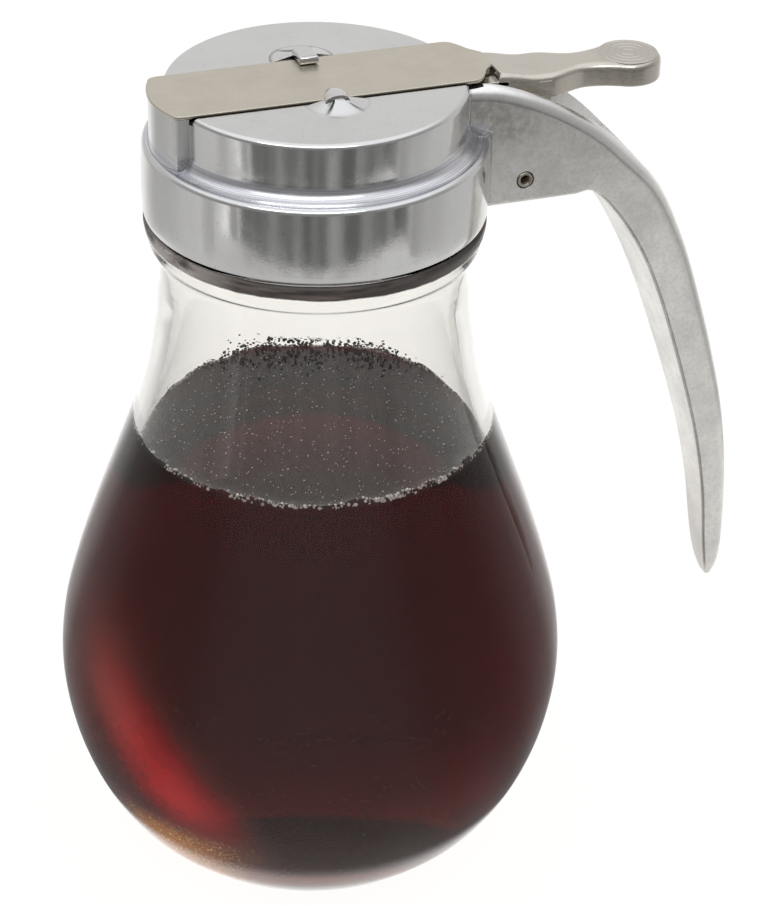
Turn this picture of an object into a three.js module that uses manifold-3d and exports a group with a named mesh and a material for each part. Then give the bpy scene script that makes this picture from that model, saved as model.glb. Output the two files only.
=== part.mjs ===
// Syrup dispenser: a teardrop glass jar of syrup under a cast cap with a curved handle, a sprung thumb lever and a
// sliding shutter. Millimetres, +Z up, the origin at the centre of the jar's base, the handle towards +X.

import * as THREE from "three";
import { mergeVertices } from "three/addons/utils/BufferGeometryUtils.js";
import Module from "manifold-3d";

const wasm = await Module();
wasm.setup();

// Jar: outer radius at heights up the wall, from the heel to the flare under the cap.
const FOOT_RADIUS = 26.6;
const JAR_OUTLINE = [
  [27.7, 1.0],
  [31.4, 4.0],
  [35.9, 9.0],
  [39.9, 16.0],
  [43.0, 25.0],
  [44.5, 35.0],
  [43.8, 45.0],
  [41.4, 55.0],
  [38.2, 65.0],
  [34.6, 75.0],
  [31.1, 85.0],
  [28.5, 95.0],
  [27.0, 105.0],
  [26.5, 113.0],
];
const NECK_STEP_Z = 117.8;
const FLARE_RADIUS = 28.4;
const FLARE_TOP_Z = 123.0;
const FINISH_RADIUS = 25.5;
const MOUTH_Z = 135.2;
const BORE_RADIUS = 22.6;
const WALL = 3.3;
const FLOOR = 6.4;
const CORNER_TOP = 13.0;
const CORNER_STEPS = [
  [9.5, 0],
  [4.6, 1.1],
  [1.7, 3.4],
];
const INSIDE_STEP = 6.5;
const SHOULDER_IN_Z = 110.0;
const JAR_SIDES = 54;
const SYRUP_LEVEL = 82.3;
const FIT_GAP = 0.3;

// Cap: collar, cover and the flat top that the shutter slides on.
const COLLAR_BOTTOM = 123.6;
const COLLAR_RADIUS = 28.7;
const COLLAR_TOP = 136.5;
const COLLAR_BORE = 26.3;
const COVER_RADIUS = 24.9;
const COVER_TOP = 146.0;
const CAVITY_RADIUS = 22.4;
const CAVITY_TOP = 143.4;
const EDGE_ROUND = 1.0;
const FILLET = 1.7;
const GROOVE_FLOOR = 145.3;
const GROOVE_HALF = 9.1;

// Shutter: a flat strip with a rounded nose over the spout and a tongue down into the lever.
const STRIP_HALF = 8.2;
const STRIP_BOTTOM = 145.6;
const STRIP_TOP = 146.4;
const STRIP_NOSE_X = -28.0;
const STRIP_SHOULDER_X = 25.9;
const STRIP_END_X = 28.1;
const NOSE_ARC = 16.0;
const NOSE_CORNER = 2.2;
const TONGUE_HALF = 2.3;
const TONGUE_FROM = 28.4;
const TONGUE_TO = 29.2;
const TONGUE_DROP = 142.6;
const POUR_HOLE = { from: -25.2, to: -20.6, half: 4.5, bottom: 138.5 };

// Staked lugs that hold the strip down.
const LUG_X = 1.1;
const LUG_Y = 9.4;
const LUG_RADIUS = 5.2;
const LUG_HEIGHT = 1.3;
const FINGER_HALF = 1.7;
const FINGER_TIP_Y = 5.2;
const FINGER_BOTTOM = 146.7;
const FINGER_TOP = 147.4;

// Bracket and handle: inner edge, outer edge and width at stations from the cap to the tip.
const HANDLE_STATIONS = [
  { inner: [20.9, 123.6], outer: [20.9, 145.6], width: 18.0 },
  { inner: [29.0, 123.6], outer: [28.9, 144.5], width: 18.0 },
  { inner: [36.5, 123.6], outer: [38.4, 140.6], width: 18.0 },
  { inner: [42.6, 123.6], outer: [47.6, 134.7], width: 17.9 },
  { inner: [46.4, 123.5], outer: [55.0, 127.5], width: 17.5 },
  { inner: [51.1, 118.5], outer: [59.9, 121.5], width: 16.8 },
  { inner: [56.2, 110.6], outer: [64.3, 112.6], width: 15.7 },
  { inner: [61.2, 99.6], outer: [68.3, 102.3], width: 13.8 },
  { inner: [66.6, 84.3], outer: [73.4, 86.4], width: 11.8 },
  { inner: [71.0, 69.9], outer: [77.2, 71.6], width: 9.9 },
  { inner: [73.8, 57.3], outer: [79.1, 58.3], width: 8.2 },
  { inner: [75.4, 45.3], outer: [79.8, 45.8], width: 6.6 },
  { inner: [76.4, 39.6], outer: [79.6, 39.6], width: 5.2 },
  { inner: [77.6, 36.0], outer: [78.7, 36.0], width: 2.6 },
];
const STEPS_PER_STATION = 3;
const HANDLE_EDGE_ROUND = 1.6;
const POCKET_HALF = 6.8;
const POCKET_OUTLINE = [
  [24.5, 152.0],
  [24.5, 120.0],
  [41.5, 120.0],
  [43.4, 125.0],
  [50.0, 126.6],
  [55.6, 130.0],
  [55.6, 152.0],
];

// Hinge pin and thumb lever.
const PIN_X = 33.7;
const PIN_Z = 127.6;
const PIN_RADIUS = 1.5;
const PIN_BORE = 0.75;
const PIN_HALF_LENGTH = 9.1;
const PIN_HOLE_RADIUS = 1.8;
const LEVER_TOP = 144.2;
const LEVER_SHEET = 1.0;
const LEVER_HALF = 5.3;
const LEVER_WAIST_HALF = 3.3;
const LEVER_START = 27.0;
const LEVER_WAIST_FROM = 39.2;
const LEVER_WAIST_X = 46.2;
const PAD_X = 55.0;
const PAD_RADIUS = 5.6;
const SKIRT_BOTTOM = 140.2;
const EAR_RADIUS = 3.1;
const SLOT = { from: 27.9, to: 30.2, half: 2.8 };
const RING_COUNT = 4;
const RING_SPACING = 1.15;
const RING_TUBE = 0.3;

const glass = new THREE.MeshStandardMaterial({ color: 0xe9ece9, roughness: 0.05, transparent: true, opacity: 0.4 });
const syrupBrown = new THREE.MeshStandardMaterial({ color: 0x4a2018, roughness: 0.2 });
const castMetal = new THREE.MeshStandardMaterial({ color: 0xa9a8a5, roughness: 0.3, metalness: 1.0 });
const stainless = new THREE.MeshStandardMaterial({ color: 0xbdb3a5, roughness: 0.35, metalness: 1.0 });
const pinSteel = new THREE.MeshStandardMaterial({ color: 0x8d8478, roughness: 0.4, metalness: 1.0 });

const group = new THREE.Group();

// A solid from a geometry whose faces point out.
function solid(geometry) {
  const flat = geometry.index ? geometry.toNonIndexed() : geometry;
  const bare = new THREE.BufferGeometry().setAttribute("position", flat.getAttribute("position"));
  const merged = mergeVertices(bare, 1e-4);
  const index = merged.index.array;
  const kept = [];
  for (let i = 0; i < index.length; i += 3) {
    const [a, b, c] = [index[i], index[i + 1], index[i + 2]];
    if (a !== b && b !== c && a !== c) kept.push(a, b, c);
  }
  const mesh = new wasm.Mesh({
    numProp: 3,
    vertProperties: merged.attributes.position.array,
    triVerts: new Uint32Array(kept),
  });
  return new wasm.Manifold(mesh);
}

// Adds a solid to the group as a named mesh.
function addMesh(name, body, material) {
  const raw = body.getMesh();
  const positions = new Float32Array(raw.numVert * 3);
  for (let i = 0; i < raw.numVert; i += 1) {
    positions.set(raw.vertProperties.subarray(i * raw.numProp, i * raw.numProp + 3), i * 3);
  }
  const geometry = new THREE.BufferGeometry();
  geometry.setAttribute("position", new THREE.BufferAttribute(positions, 3));
  geometry.setIndex(new THREE.BufferAttribute(raw.triVerts, 1));
  geometry.computeVertexNormals();
  const mesh = new THREE.Mesh(geometry, material);
  mesh.name = name;
  group.add(mesh);
}

// A solid turned about the Z axis from points of radius and height, going up the outside.
function turned(points, segments) {
  const profile = points.map(([r, z]) => new THREE.Vector2(r, z));
  return solid(new THREE.LatheGeometry(profile, segments).rotateX(Math.PI / 2));
}

// A quarter arc of radius and height points about a centre.
function arc(centreR, centreZ, radius, fromDeg, toDeg, steps) {
  const points = [];
  for (let i = 0; i <= steps; i += 1) {
    const a = THREE.MathUtils.degToRad(fromDeg + ((toDeg - fromDeg) * i) / steps);
    points.push([centreR + radius * Math.cos(a), centreZ + radius * Math.sin(a)]);
  }
  return points;
}

// Points of a smooth curve through the given ones.
function smooth(points, steps) {
  const curve = new THREE.SplineCurve(points.map(([a, b]) => new THREE.Vector2(a, b)));
  return curve.getPoints(steps).map((p) => [p.x, p.y]);
}

// An outline in X and Y raised from one height to another.
function raised(outline, fromZ, toZ) {
  const shape = new THREE.Shape(outline.map(([x, y]) => new THREE.Vector2(x, y)));
  const geometry = new THREE.ExtrudeGeometry(shape, { depth: toZ - fromZ, bevelEnabled: false, curveSegments: 10 });
  return solid(geometry.translate(0, 0, fromZ));
}

// An outline in X and Z carried across Y from one side to the other.
function across(outline, fromY, toY) {
  const shape = new THREE.Shape(outline.map(([x, z]) => new THREE.Vector2(x, z)));
  const geometry = new THREE.ExtrudeGeometry(shape, { depth: toY - fromY, bevelEnabled: false, curveSegments: 10 });
  return solid(geometry.rotateX(Math.PI / 2).translate(0, toY, 0));
}

function box(x0, x1, y0, y1, z0, z1) {
  const geometry = new THREE.BoxGeometry(x1 - x0, y1 - y0, z1 - z0);
  return solid(geometry.translate((x0 + x1) / 2, (y0 + y1) / 2, (z0 + z1) / 2));
}

// A round bar along Y through the hinge line.
function hingeBar(radius, halfLength, segments) {
  const geometry = new THREE.CylinderGeometry(radius, radius, 2 * halfLength, segments);
  return solid(geometry.translate(PIN_X, 0, PIN_Z));
}

// The jar's wall, its outside and the inside a wall's thickness in.
const outside = smooth(JAR_OUTLINE, 18);

// The outer radius at a height, read off the jar's outline.
function outerRadiusAt(z) {
  const next = outside.findIndex(([, height]) => height >= z);
  const [r0, z0] = outside[next - 1];
  const [r1, z1] = outside[next];
  return THREE.MathUtils.lerp(r0, r1, (z - z0) / (z1 - z0));
}

// The inside from the middle of the floor up to a height, drawn in by a gap for what fills it.
function insideProfile(gap, topZ) {
  const cornerRadius = outerRadiusAt(CORNER_TOP) - WALL - gap;
  const points = [[0, FLOOR + gap]];
  for (const [back, rise] of CORNER_STEPS) points.push([cornerRadius - back, FLOOR + rise + gap]);
  for (let z = CORNER_TOP; z < topZ - 0.5; z += INSIDE_STEP) points.push([outerRadiusAt(z) - WALL - gap, z]);
  points.push([outerRadiusAt(topZ) - WALL - gap, topZ]);
  return points;
}

function makeJar() {
  const outer = [
    [0, 0],
    [FOOT_RADIUS - 1.2, 0],
    [FOOT_RADIUS, 0.3],
    ...outside,
    [26.7, NECK_STEP_Z - 1.2],
    [27.1, NECK_STEP_Z],
    [27.7, NECK_STEP_Z + 0.9],
    [28.2, NECK_STEP_Z + 2.6],
    [FLARE_RADIUS, FLARE_TOP_Z - 0.6],
    [FLARE_RADIUS - 0.7, FLARE_TOP_Z],
    [FINISH_RADIUS, FLARE_TOP_Z + 0.3],
    [FINISH_RADIUS, MOUTH_Z - 0.8],
    [FINISH_RADIUS - 0.8, MOUTH_Z],
  ];
  const inner = [[BORE_RADIUS + 0.6, MOUTH_Z], [BORE_RADIUS, MOUTH_Z - 0.6], [BORE_RADIUS, 118.0]];
  return turned([...outer, ...inner, ...insideProfile(0, SHOULDER_IN_Z).reverse()], JAR_SIDES);
}

function makeSyrup() {
  return turned([...insideProfile(FIT_GAP, SYRUP_LEVEL), [0, SYRUP_LEVEL]], JAR_SIDES);
}

// Plan of the strip's rounded nose, drawn from its straight sides round the end.
function nosePlan(noseX, half, backX) {
  const centreX = noseX + NOSE_ARC;
  const sideAngle = Math.asin((half - NOSE_CORNER * 0.55) / NOSE_ARC);
  const points = [[backX, -half]];
  points.push([centreX - NOSE_ARC * Math.cos(sideAngle) + NOSE_CORNER, -half]);
  for (let i = 0; i <= 12; i += 1) {
    const a = -sideAngle + (2 * sideAngle * i) / 12;
    points.push([centreX - NOSE_ARC * Math.cos(a), NOSE_ARC * Math.sin(a)]);
  }
  points.push([centreX - NOSE_ARC * Math.cos(sideAngle) + NOSE_CORNER, half]);
  points.push([backX, half]);
  return points.reverse();
}

// The handle's station values at a fraction of its length.
function handleSection(t, edges) {
  const inner = edges.inner.getPoint(t);
  const outer = edges.outer.getPoint(t);
  const place = t * (HANDLE_STATIONS.length - 1);
  const k = Math.min(Math.floor(place), HANDLE_STATIONS.length - 2);
  const width = THREE.MathUtils.lerp(HANDLE_STATIONS[k].width, HANDLE_STATIONS[k + 1].width, place - k);
  const depth = inner.distanceTo(outer);
  const round = Math.min(HANDLE_EDGE_ROUND, width * 0.4, depth * 0.4);
  const along = (outer.x - inner.x) / depth;
  const up = (outer.y - inner.y) / depth;
  const flat = [[0, -width / 2]];
  for (const [u, v] of arc(depth - round, -(width / 2 - round), round, -90, 0, 4)) flat.push([u, v]);
  for (const [u, v] of arc(depth - round, width / 2 - round, round, 0, 90, 4)) flat.push([u, v]);
  flat.push([0, width / 2]);
  return flat.map(([u, v]) => new THREE.Vector3(inner.x + along * u, v, inner.y + up * u));
}

// Bracket and handle as one skin over sections from the cap to the tip.
function makeHandle() {
  const edges = {
    inner: new THREE.SplineCurve(HANDLE_STATIONS.map((s) => new THREE.Vector2(...s.inner))),
    outer: new THREE.SplineCurve(HANDLE_STATIONS.map((s) => new THREE.Vector2(...s.outer))),
  };
  const count = (HANDLE_STATIONS.length - 1) * STEPS_PER_STATION;
  const sections = [];
  for (let i = 0; i <= count; i += 1) sections.push(handleSection(i / count, edges));
  const ring = sections[0].length;
  const positions = sections.flat().flatMap((p) => [p.x, p.y, p.z]);
  const index = [];
  for (let i = 0; i < count; i += 1) {
    for (let j = 0; j < ring; j += 1) {
      const a = i * ring + j;
      const b = i * ring + ((j + 1) % ring);
      index.push(a, a + ring, b, b, a + ring, b + ring);
    }
  }
  for (let j = 1; j < ring - 1; j += 1) {
    index.push(0, j, j + 1);
    index.push(count * ring, count * ring + j + 1, count * ring + j);
  }
  const geometry = new THREE.BufferGeometry();
  geometry.setAttribute("position", new THREE.Float32BufferAttribute(positions, 3));
  geometry.setIndex(index);
  return solid(geometry);
}

function makeLug(side) {
  const mound = [
    [0, COVER_TOP - 0.5],
    [LUG_RADIUS, COVER_TOP - 0.5],
    [LUG_RADIUS, COVER_TOP],
    [LUG_RADIUS * 0.55, COVER_TOP + LUG_HEIGHT * 0.55],
    [LUG_RADIUS * 0.2, COVER_TOP + LUG_HEIGHT],
    [0, COVER_TOP + LUG_HEIGHT],
  ];
  const whole = turned(mound, 32).translate([LUG_X, side * LUG_Y, 0]);
  const outerY = side * (LUG_Y + LUG_RADIUS + 1);
  const keep = box(LUG_X - 8, LUG_X + 8, Math.min(side * GROOVE_HALF, outerY), Math.max(side * GROOVE_HALF, outerY), 140, 150);
  const tip = side * FINGER_TIP_Y;
  const root = side * (LUG_Y + 0.8);
  const finger = box(
    LUG_X - FINGER_HALF,
    LUG_X + FINGER_HALF,
    Math.min(tip, root),
    Math.max(tip, root),
    FINGER_BOTTOM,
    FINGER_TOP,
  );
  const post = box(
    LUG_X - FINGER_HALF,
    LUG_X + FINGER_HALF,
    Math.min(side * GROOVE_HALF, root),
    Math.max(side * GROOVE_HALF, root),
    COVER_TOP - 0.4,
    FINGER_TOP,
  );
  return whole.intersect(keep).add(finger).add(post);
}

function makeCasting() {
  const shell = turned(
    [
      [0, COLLAR_BOTTOM],
      [COLLAR_RADIUS - 0.3, COLLAR_BOTTOM],
      [COLLAR_RADIUS, COLLAR_BOTTOM + 0.4],
      ...arc(COLLAR_RADIUS - 1.3, COLLAR_TOP - 1.3, 1.3, 0, 90, 4),
      ...arc(COVER_RADIUS + FILLET, COLLAR_TOP + FILLET, FILLET, 270, 180, 4),
      ...arc(COVER_RADIUS - EDGE_ROUND, COVER_TOP - EDGE_ROUND, EDGE_ROUND, 0, 90, 4),
      [0, COVER_TOP],
    ],
    72,
  );
  const nose = raised(nosePlan(STRIP_NOSE_X + 0.3, STRIP_HALF - 0.1, -20), COLLAR_TOP - 1.0, GROOVE_FLOOR);
  const pocket = across(POCKET_OUTLINE, -POCKET_HALF, POCKET_HALF);
  const pinHole = hingeBar(PIN_HOLE_RADIUS, 20, 24);
  const bracket = makeHandle().subtract(pocket).subtract(pinHole);
  const cavity = turned(
    [
      [0, COLLAR_BOTTOM - 1],
      [COLLAR_BORE, COLLAR_BOTTOM - 1],
      [COLLAR_BORE, MOUTH_Z + 0.5],
      [CAVITY_RADIUS, MOUTH_Z + 0.5],
      [CAVITY_RADIUS, CAVITY_TOP],
      [0, CAVITY_TOP],
    ],
    64,
  );
  const groove = box(-32, 32, -GROOVE_HALF, GROOVE_HALF, GROOVE_FLOOR, 152);
  const hole = box(POUR_HOLE.from, POUR_HOLE.to, -POUR_HOLE.half, POUR_HOLE.half, POUR_HOLE.bottom, 152);
  let body = shell.add(nose).add(bracket).subtract(cavity).subtract(groove).subtract(hole);
  for (const side of [-1, 1]) body = body.add(makeLug(side));
  return body;
}

function makeShutter() {
  const plan = nosePlan(STRIP_NOSE_X, STRIP_HALF, STRIP_SHOULDER_X);
  const right = [
    [STRIP_SHOULDER_X - 0.6, -STRIP_HALF],
    [STRIP_SHOULDER_X + 0.3, -STRIP_HALF + 0.4],
    [STRIP_SHOULDER_X + 1.0, -STRIP_HALF + 1.5],
    [STRIP_SHOULDER_X + 1.6, -STRIP_HALF + 3.4],
    [STRIP_END_X - 0.3, -TONGUE_HALF - 1.1],
    [STRIP_END_X, -TONGUE_HALF],
    [TONGUE_TO, -TONGUE_HALF],
    [TONGUE_TO, TONGUE_HALF],
    [STRIP_END_X, TONGUE_HALF],
    [STRIP_END_X - 0.3, TONGUE_HALF + 1.1],
    [STRIP_SHOULDER_X + 1.6, STRIP_HALF - 3.4],
    [STRIP_SHOULDER_X + 1.0, STRIP_HALF - 1.5],
    [STRIP_SHOULDER_X + 0.3, STRIP_HALF - 0.4],
    [STRIP_SHOULDER_X - 0.6, STRIP_HALF],
  ];
  const outline = [...right, ...plan.slice(1, -1)];
  const plate = raised(outline, STRIP_BOTTOM, STRIP_TOP);
  const tongue = box(TONGUE_FROM, TONGUE_TO, -TONGUE_HALF, TONGUE_HALF, TONGUE_DROP, STRIP_TOP - 0.1);
  return plate.add(tongue);
}

// Half width of the lever's plate along X: straight, in to a waist, then out round the pad.
function leverHalf(x, inset) {
  const ease = (a, b, t) => a + (b - a) * t * t * (3 - 2 * t);
  const padReach = PAD_RADIUS - inset;
  const joinX = PAD_X - 2.9;
  const joinHalf = Math.sqrt(PAD_RADIUS ** 2 - (PAD_X - joinX) ** 2);
  if (x < LEVER_WAIST_FROM) return LEVER_HALF - inset;
  if (x < LEVER_WAIST_X) return ease(LEVER_HALF, LEVER_WAIST_HALF, (x - LEVER_WAIST_FROM) / (LEVER_WAIST_X - LEVER_WAIST_FROM)) - inset;
  if (x < joinX) return THREE.MathUtils.lerp(LEVER_WAIST_HALF, joinHalf, ((x - LEVER_WAIST_X) / (joinX - LEVER_WAIST_X)) ** 1.8) - inset;
  return Math.sqrt(Math.max(padReach ** 2 - (x - PAD_X) ** 2, 0));
}

function leverPlan(startX, inset) {
  const half = [];
  const count = 26;
  const bodyEnd = PAD_X;
  for (let i = 0; i <= count; i += 1) {
    const x = startX + ((bodyEnd - startX) * i) / count;
    half.push([x, leverHalf(x, inset)]);
  }
  for (let i = 1; i <= 9; i += 1) {
    const a = Math.PI / 2 - (Math.PI / 2) * (i / 9);
    half.push([PAD_X + (PAD_RADIUS - inset) * Math.cos(a), (PAD_RADIUS - inset) * Math.sin(a)]);
  }
  const lower = half.map(([x, y]) => [x, -y]);
  const upper = half.slice(0, -1).reverse();
  return [...lower, ...upper];
}

function makeLever() {
  const top = LEVER_TOP - LEVER_SHEET;
  const tray = raised(leverPlan(29.7, 0), SKIRT_BOTTOM, LEVER_TOP).subtract(raised(leverPlan(28.5, LEVER_SHEET), SKIRT_BOTTOM - 1, top));
  const nose = raised(
    [
      [LEVER_START, -LEVER_HALF],
      [31.0, -LEVER_HALF],
      [31.0, LEVER_HALF],
      [LEVER_START, LEVER_HALF],
    ],
    top,
    LEVER_TOP,
  );
  const slot = box(SLOT.from, SLOT.to, -SLOT.half, SLOT.half, top - 2, LEVER_TOP + 1);
  const earOutline = [
    [29.2, LEVER_TOP - 0.2],
    [29.2, LEVER_TOP - 4.0],
    [PIN_X - EAR_RADIUS, PIN_Z + 1.0],
  ];
  for (let i = 0; i <= 10; i += 1) {
    const a = Math.PI + (Math.PI * i) / 10;
    earOutline.push([PIN_X + EAR_RADIUS * Math.cos(a), PIN_Z + EAR_RADIUS * Math.sin(a)]);
  }
  earOutline.push([PIN_X + EAR_RADIUS, PIN_Z + 1.0], [LEVER_WAIST_FROM, SKIRT_BOTTOM + 0.2], [LEVER_WAIST_FROM, LEVER_TOP - 0.2]);
  let lever = tray.add(nose);
  for (const side of [-1, 1]) {
    const y0 = side < 0 ? -LEVER_HALF : LEVER_HALF - LEVER_SHEET;
    lever = lever.add(across(earOutline, y0, y0 + LEVER_SHEET));
  }
  for (let i = 1; i <= RING_COUNT; i += 1) {
    const ring = new THREE.TorusGeometry(i * RING_SPACING, RING_TUBE, 5, 28).translate(PAD_X, 0, LEVER_TOP - 0.05);
    lever = lever.add(solid(ring));
  }
  return lever.subtract(slot).subtract(hingeBar(PIN_HOLE_RADIUS, 20, 24));
}

function makePin() {
  return hingeBar(PIN_RADIUS, PIN_HALF_LENGTH, 24).subtract(hingeBar(PIN_BORE, PIN_HALF_LENGTH + 1, 16));
}

addMesh("glass_jar", makeJar(), glass);
addMesh("syrup", makeSyrup(), syrupBrown);
addMesh("cap_casting", makeCasting(), castMetal);
addMesh("shutter_strip", makeShutter(), stainless);
addMesh("thumb_lever", makeLever(), stainless);
addMesh("pivot_pin", makePin(), pinSteel);

export default group;
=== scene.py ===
import logging
import math
from dataclasses import dataclass
from enum import Enum
from functools import reduce
from typing import Any, Sequence

import bpy
import numpy as np
from mathutils import Matrix, Vector


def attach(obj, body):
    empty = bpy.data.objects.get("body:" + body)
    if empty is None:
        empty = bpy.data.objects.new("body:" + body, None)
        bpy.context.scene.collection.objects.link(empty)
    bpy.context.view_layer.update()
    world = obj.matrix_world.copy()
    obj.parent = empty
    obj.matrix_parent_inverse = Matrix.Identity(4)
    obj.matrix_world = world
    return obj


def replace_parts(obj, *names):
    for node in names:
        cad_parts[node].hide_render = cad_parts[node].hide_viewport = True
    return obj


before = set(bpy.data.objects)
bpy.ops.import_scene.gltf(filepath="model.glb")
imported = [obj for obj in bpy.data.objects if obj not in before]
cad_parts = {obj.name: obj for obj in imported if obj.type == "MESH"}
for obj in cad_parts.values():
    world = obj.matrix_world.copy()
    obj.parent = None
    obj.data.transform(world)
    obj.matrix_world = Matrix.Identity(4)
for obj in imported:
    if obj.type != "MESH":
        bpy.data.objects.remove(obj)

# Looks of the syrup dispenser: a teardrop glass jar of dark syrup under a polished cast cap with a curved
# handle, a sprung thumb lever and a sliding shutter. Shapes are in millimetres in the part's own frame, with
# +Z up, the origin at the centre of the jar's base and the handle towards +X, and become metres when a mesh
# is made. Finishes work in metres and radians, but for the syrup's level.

LOG = logging.getLogger("syrup_dispenser")
MM = 0.001
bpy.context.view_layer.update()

Colour = tuple[float, float, float]
Place = tuple[float, float, float]
Socket = Any


class Body(Enum):
    """The moving bodies of the part."""

    DISPENSER = "dispenser"
    LEVER = "lever"
    SHUTTER = "shutter"


class Slot(Enum):
    """The record's finishes."""

    GLASS = "clear_glass"
    SYRUP = "syrup"
    CASTING = "cast_cap"
    STAINLESS = "stainless"
    PIN = "pin_steel"


class Side(Enum):
    """The two long sides of the part: the front faces -Y."""

    FRONT = -1
    BACK = 1


class Shape(Enum):
    """How one solid is joined to another."""

    ADD = "UNION"
    CUT = "DIFFERENCE"


# Surfaces


def ease(t: np.ndarray) -> np.ndarray:
    """A smooth step: 3t^2 - 2t^3 with t held between 0 and 1.

    Args:
        t: Values of any range.

    Returns:
        The eased values, from 0 to 1.
    """
    held = np.clip(t, 0.0, 1.0)
    return held * held * (3.0 - 2.0 * held)


def arc(centre: tuple[float, float], radius: float, start: float, end: float, steps: int) -> np.ndarray:
    """Points of a round arc: centre + radius * (cos, sin) of angles spread evenly.

    Args:
        centre: The arc's centre in the plane.
        radius: Its radius.
        start: First angle in degrees.
        end: Last angle in degrees.
        steps: Number of spans.

    Returns:
        The points, one a row.
    """
    angle = np.radians(np.linspace(start, end, steps + 1))
    return np.stack([centre[0] + radius * np.cos(angle), centre[1] + radius * np.sin(angle)], 1)


def spline(points: Sequence[Sequence[float]], count: int) -> np.ndarray:
    """A smooth curve through points: between two neighbours a cubic whose slopes are half the span of the
    points beside them, and the end points stand in for those beyond them.

    Args:
        points: Points or rows of values to pass through, evenly spaced along the curve.
        count: Number of points wanted.

    Returns:
        The curve's points, one a row.
    """
    knots = np.asarray(points, float)
    last = len(knots) - 1
    place = np.linspace(0.0, last, count)
    k = np.minimum(place.astype(int), last - 1)
    t = (place - k)[:, None]
    before, here = knots[np.maximum(k - 1, 0)], knots[k]
    after, beyond = knots[k + 1], knots[np.minimum(k + 2, last)]
    leave, arrive = (after - before) / 2, (beyond - here) / 2
    cubic = (2 * here - 2 * after + leave + arrive) * t**3
    return cubic + (3 * after - 3 * here - 2 * leave - arrive) * t**2 + leave * t + here


def quads(rows: int, cols: int, round_cols: bool = True, round_rows: bool = False) -> list[tuple[int, ...]]:
    """Faces between neighbours of a grid whose point (i, j) has the number i * cols + j.

    Args:
        rows: Number of rows.
        cols: Number of columns.
        round_cols: Whether the last column meets the first.
        round_rows: Whether the last row meets the first.

    Returns:
        The faces, each by its four point numbers.
    """
    first = np.arange(rows if round_rows else rows - 1)
    second = np.arange(cols if round_cols else cols - 1)
    i, j = np.meshgrid(first, second, indexing="ij")
    down, right = (i + 1) % rows, (j + 1) % cols
    corners = np.stack([i * cols + j, i * cols + right, down * cols + right, down * cols + j], -1)
    return [tuple(f) for f in corners.reshape(-1, 4).tolist()]


@dataclass
class Skin:
    """A surface: points in millimetres and faces as tuples of point numbers."""

    points: np.ndarray
    faces: list[tuple[int, ...]]

    def moved(self, x: float, y: float, z: float) -> "Skin":
        """The same surface further along the three axes."""
        return Skin(self.points + np.array([x, y, z]), self.faces)

    def mirrored(self) -> "Skin":
        """The surface's mirror image across the plane y = 0, with its faces still pointing out."""
        return Skin(self.points * np.array([1.0, -1.0, 1.0]), [f[::-1] for f in self.faces])

    def with_skins(self, *others: "Skin") -> "Skin":
        """This surface and others as one.

        Args:
            others: The other surfaces.

        Returns:
            One surface.
        """
        points, faces = [self.points], list(self.faces)
        start = len(self.points)
        for other in others:
            points.append(other.points)
            faces += [tuple(n + start for n in f) for f in other.faces]
            start += len(other.points)
        return Skin(np.concatenate(points), faces)

    def mesh(self, name: str) -> bpy.types.Mesh:
        """The surface as a mesh in metres.

        Args:
            name: Its name.

        Returns:
            The mesh.
        """
        made = bpy.data.meshes.new(name)
        made.from_pydata((self.points * MM).tolist(), [], self.faces)
        made.validate()
        made.update()
        return made

    def piece(self, name: str) -> bpy.types.Object:
        """The surface as an object at the origin.

        Args:
            name: Its name.

        Returns:
            The object, linked to the scene.
        """
        thing = bpy.data.objects.new(name, self.mesh(name))
        bpy.context.scene.collection.objects.link(thing)
        return thing


def turned(profile: np.ndarray, sides: int) -> Skin:
    """A profile of radius and height carried round the Z axis: x = r cos a, y = r sin a, z = height. A
    first or last point on the axis becomes one pole. Going up the outside, the faces point out.

    Args:
        profile: Radius and height, one point a row.
        sides: Number of steps round.

    Returns:
        The turned surface.
    """
    angle = np.linspace(0.0, 2 * math.pi, sides, endpoint=False)
    first_pole, last_pole = profile[0, 0] < 1e-9, profile[-1, 0] < 1e-9
    rings = profile[int(first_pole) : len(profile) - int(last_pole)]
    grid = np.empty((len(rings), sides, 3))
    grid[..., 0] = rings[:, 0:1] * np.cos(angle)
    grid[..., 1] = rings[:, 0:1] * np.sin(angle)
    grid[..., 2] = rings[:, 1:2]
    points, faces = [grid.reshape(-1, 3)], quads(len(rings), sides)
    count = grid.shape[0] * sides
    here = np.arange(sides)
    beside = (here + 1) % sides
    if first_pole:
        points.append(np.array([[0.0, 0.0, profile[0, 1]]]))
        faces += list(zip([count] * sides, beside.tolist(), here.tolist()))
        count += 1
    if last_pole:
        points.append(np.array([[0.0, 0.0, profile[-1, 1]]]))
        base = (len(rings) - 1) * sides
        faces += list(zip((base + here).tolist(), (base + beside).tolist(), [count] * sides))
    return Skin(np.concatenate(points), faces)


def lofted(rings: np.ndarray, mirrored_ends: bool = False) -> Skin:
    """A skin over rings of the same number of points, closed round each ring and capped by one face at each
    end, or by cross bars where a ring's second half mirrors its first.

    Args:
        rings: Points by ring, by place round the ring and by axis. Round each ring the points go so that,
            with the rings' own direction, the faces point out.
        mirrored_ends: Whether the ends are closed by cross bars.

    Returns:
        The closed surface.
    """
    count, round_points = rings.shape[:2]
    faces = quads(count, round_points)
    last = (count - 1) * round_points
    if mirrored_ends:
        k = np.arange(round_points // 2 - 1)
        bars = np.stack([k, k + 1, round_points - 2 - k, round_points - 1 - k], 1)
        faces += [tuple(f) for f in bars[:, ::-1].tolist()] + [tuple(f) for f in (bars + last).tolist()]
        return Skin(rings.reshape(-1, 3), faces)
    faces.append(tuple(range(round_points))[::-1])
    faces.append(tuple(range(last, count * round_points)))
    return Skin(rings.reshape(-1, 3), faces)


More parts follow.
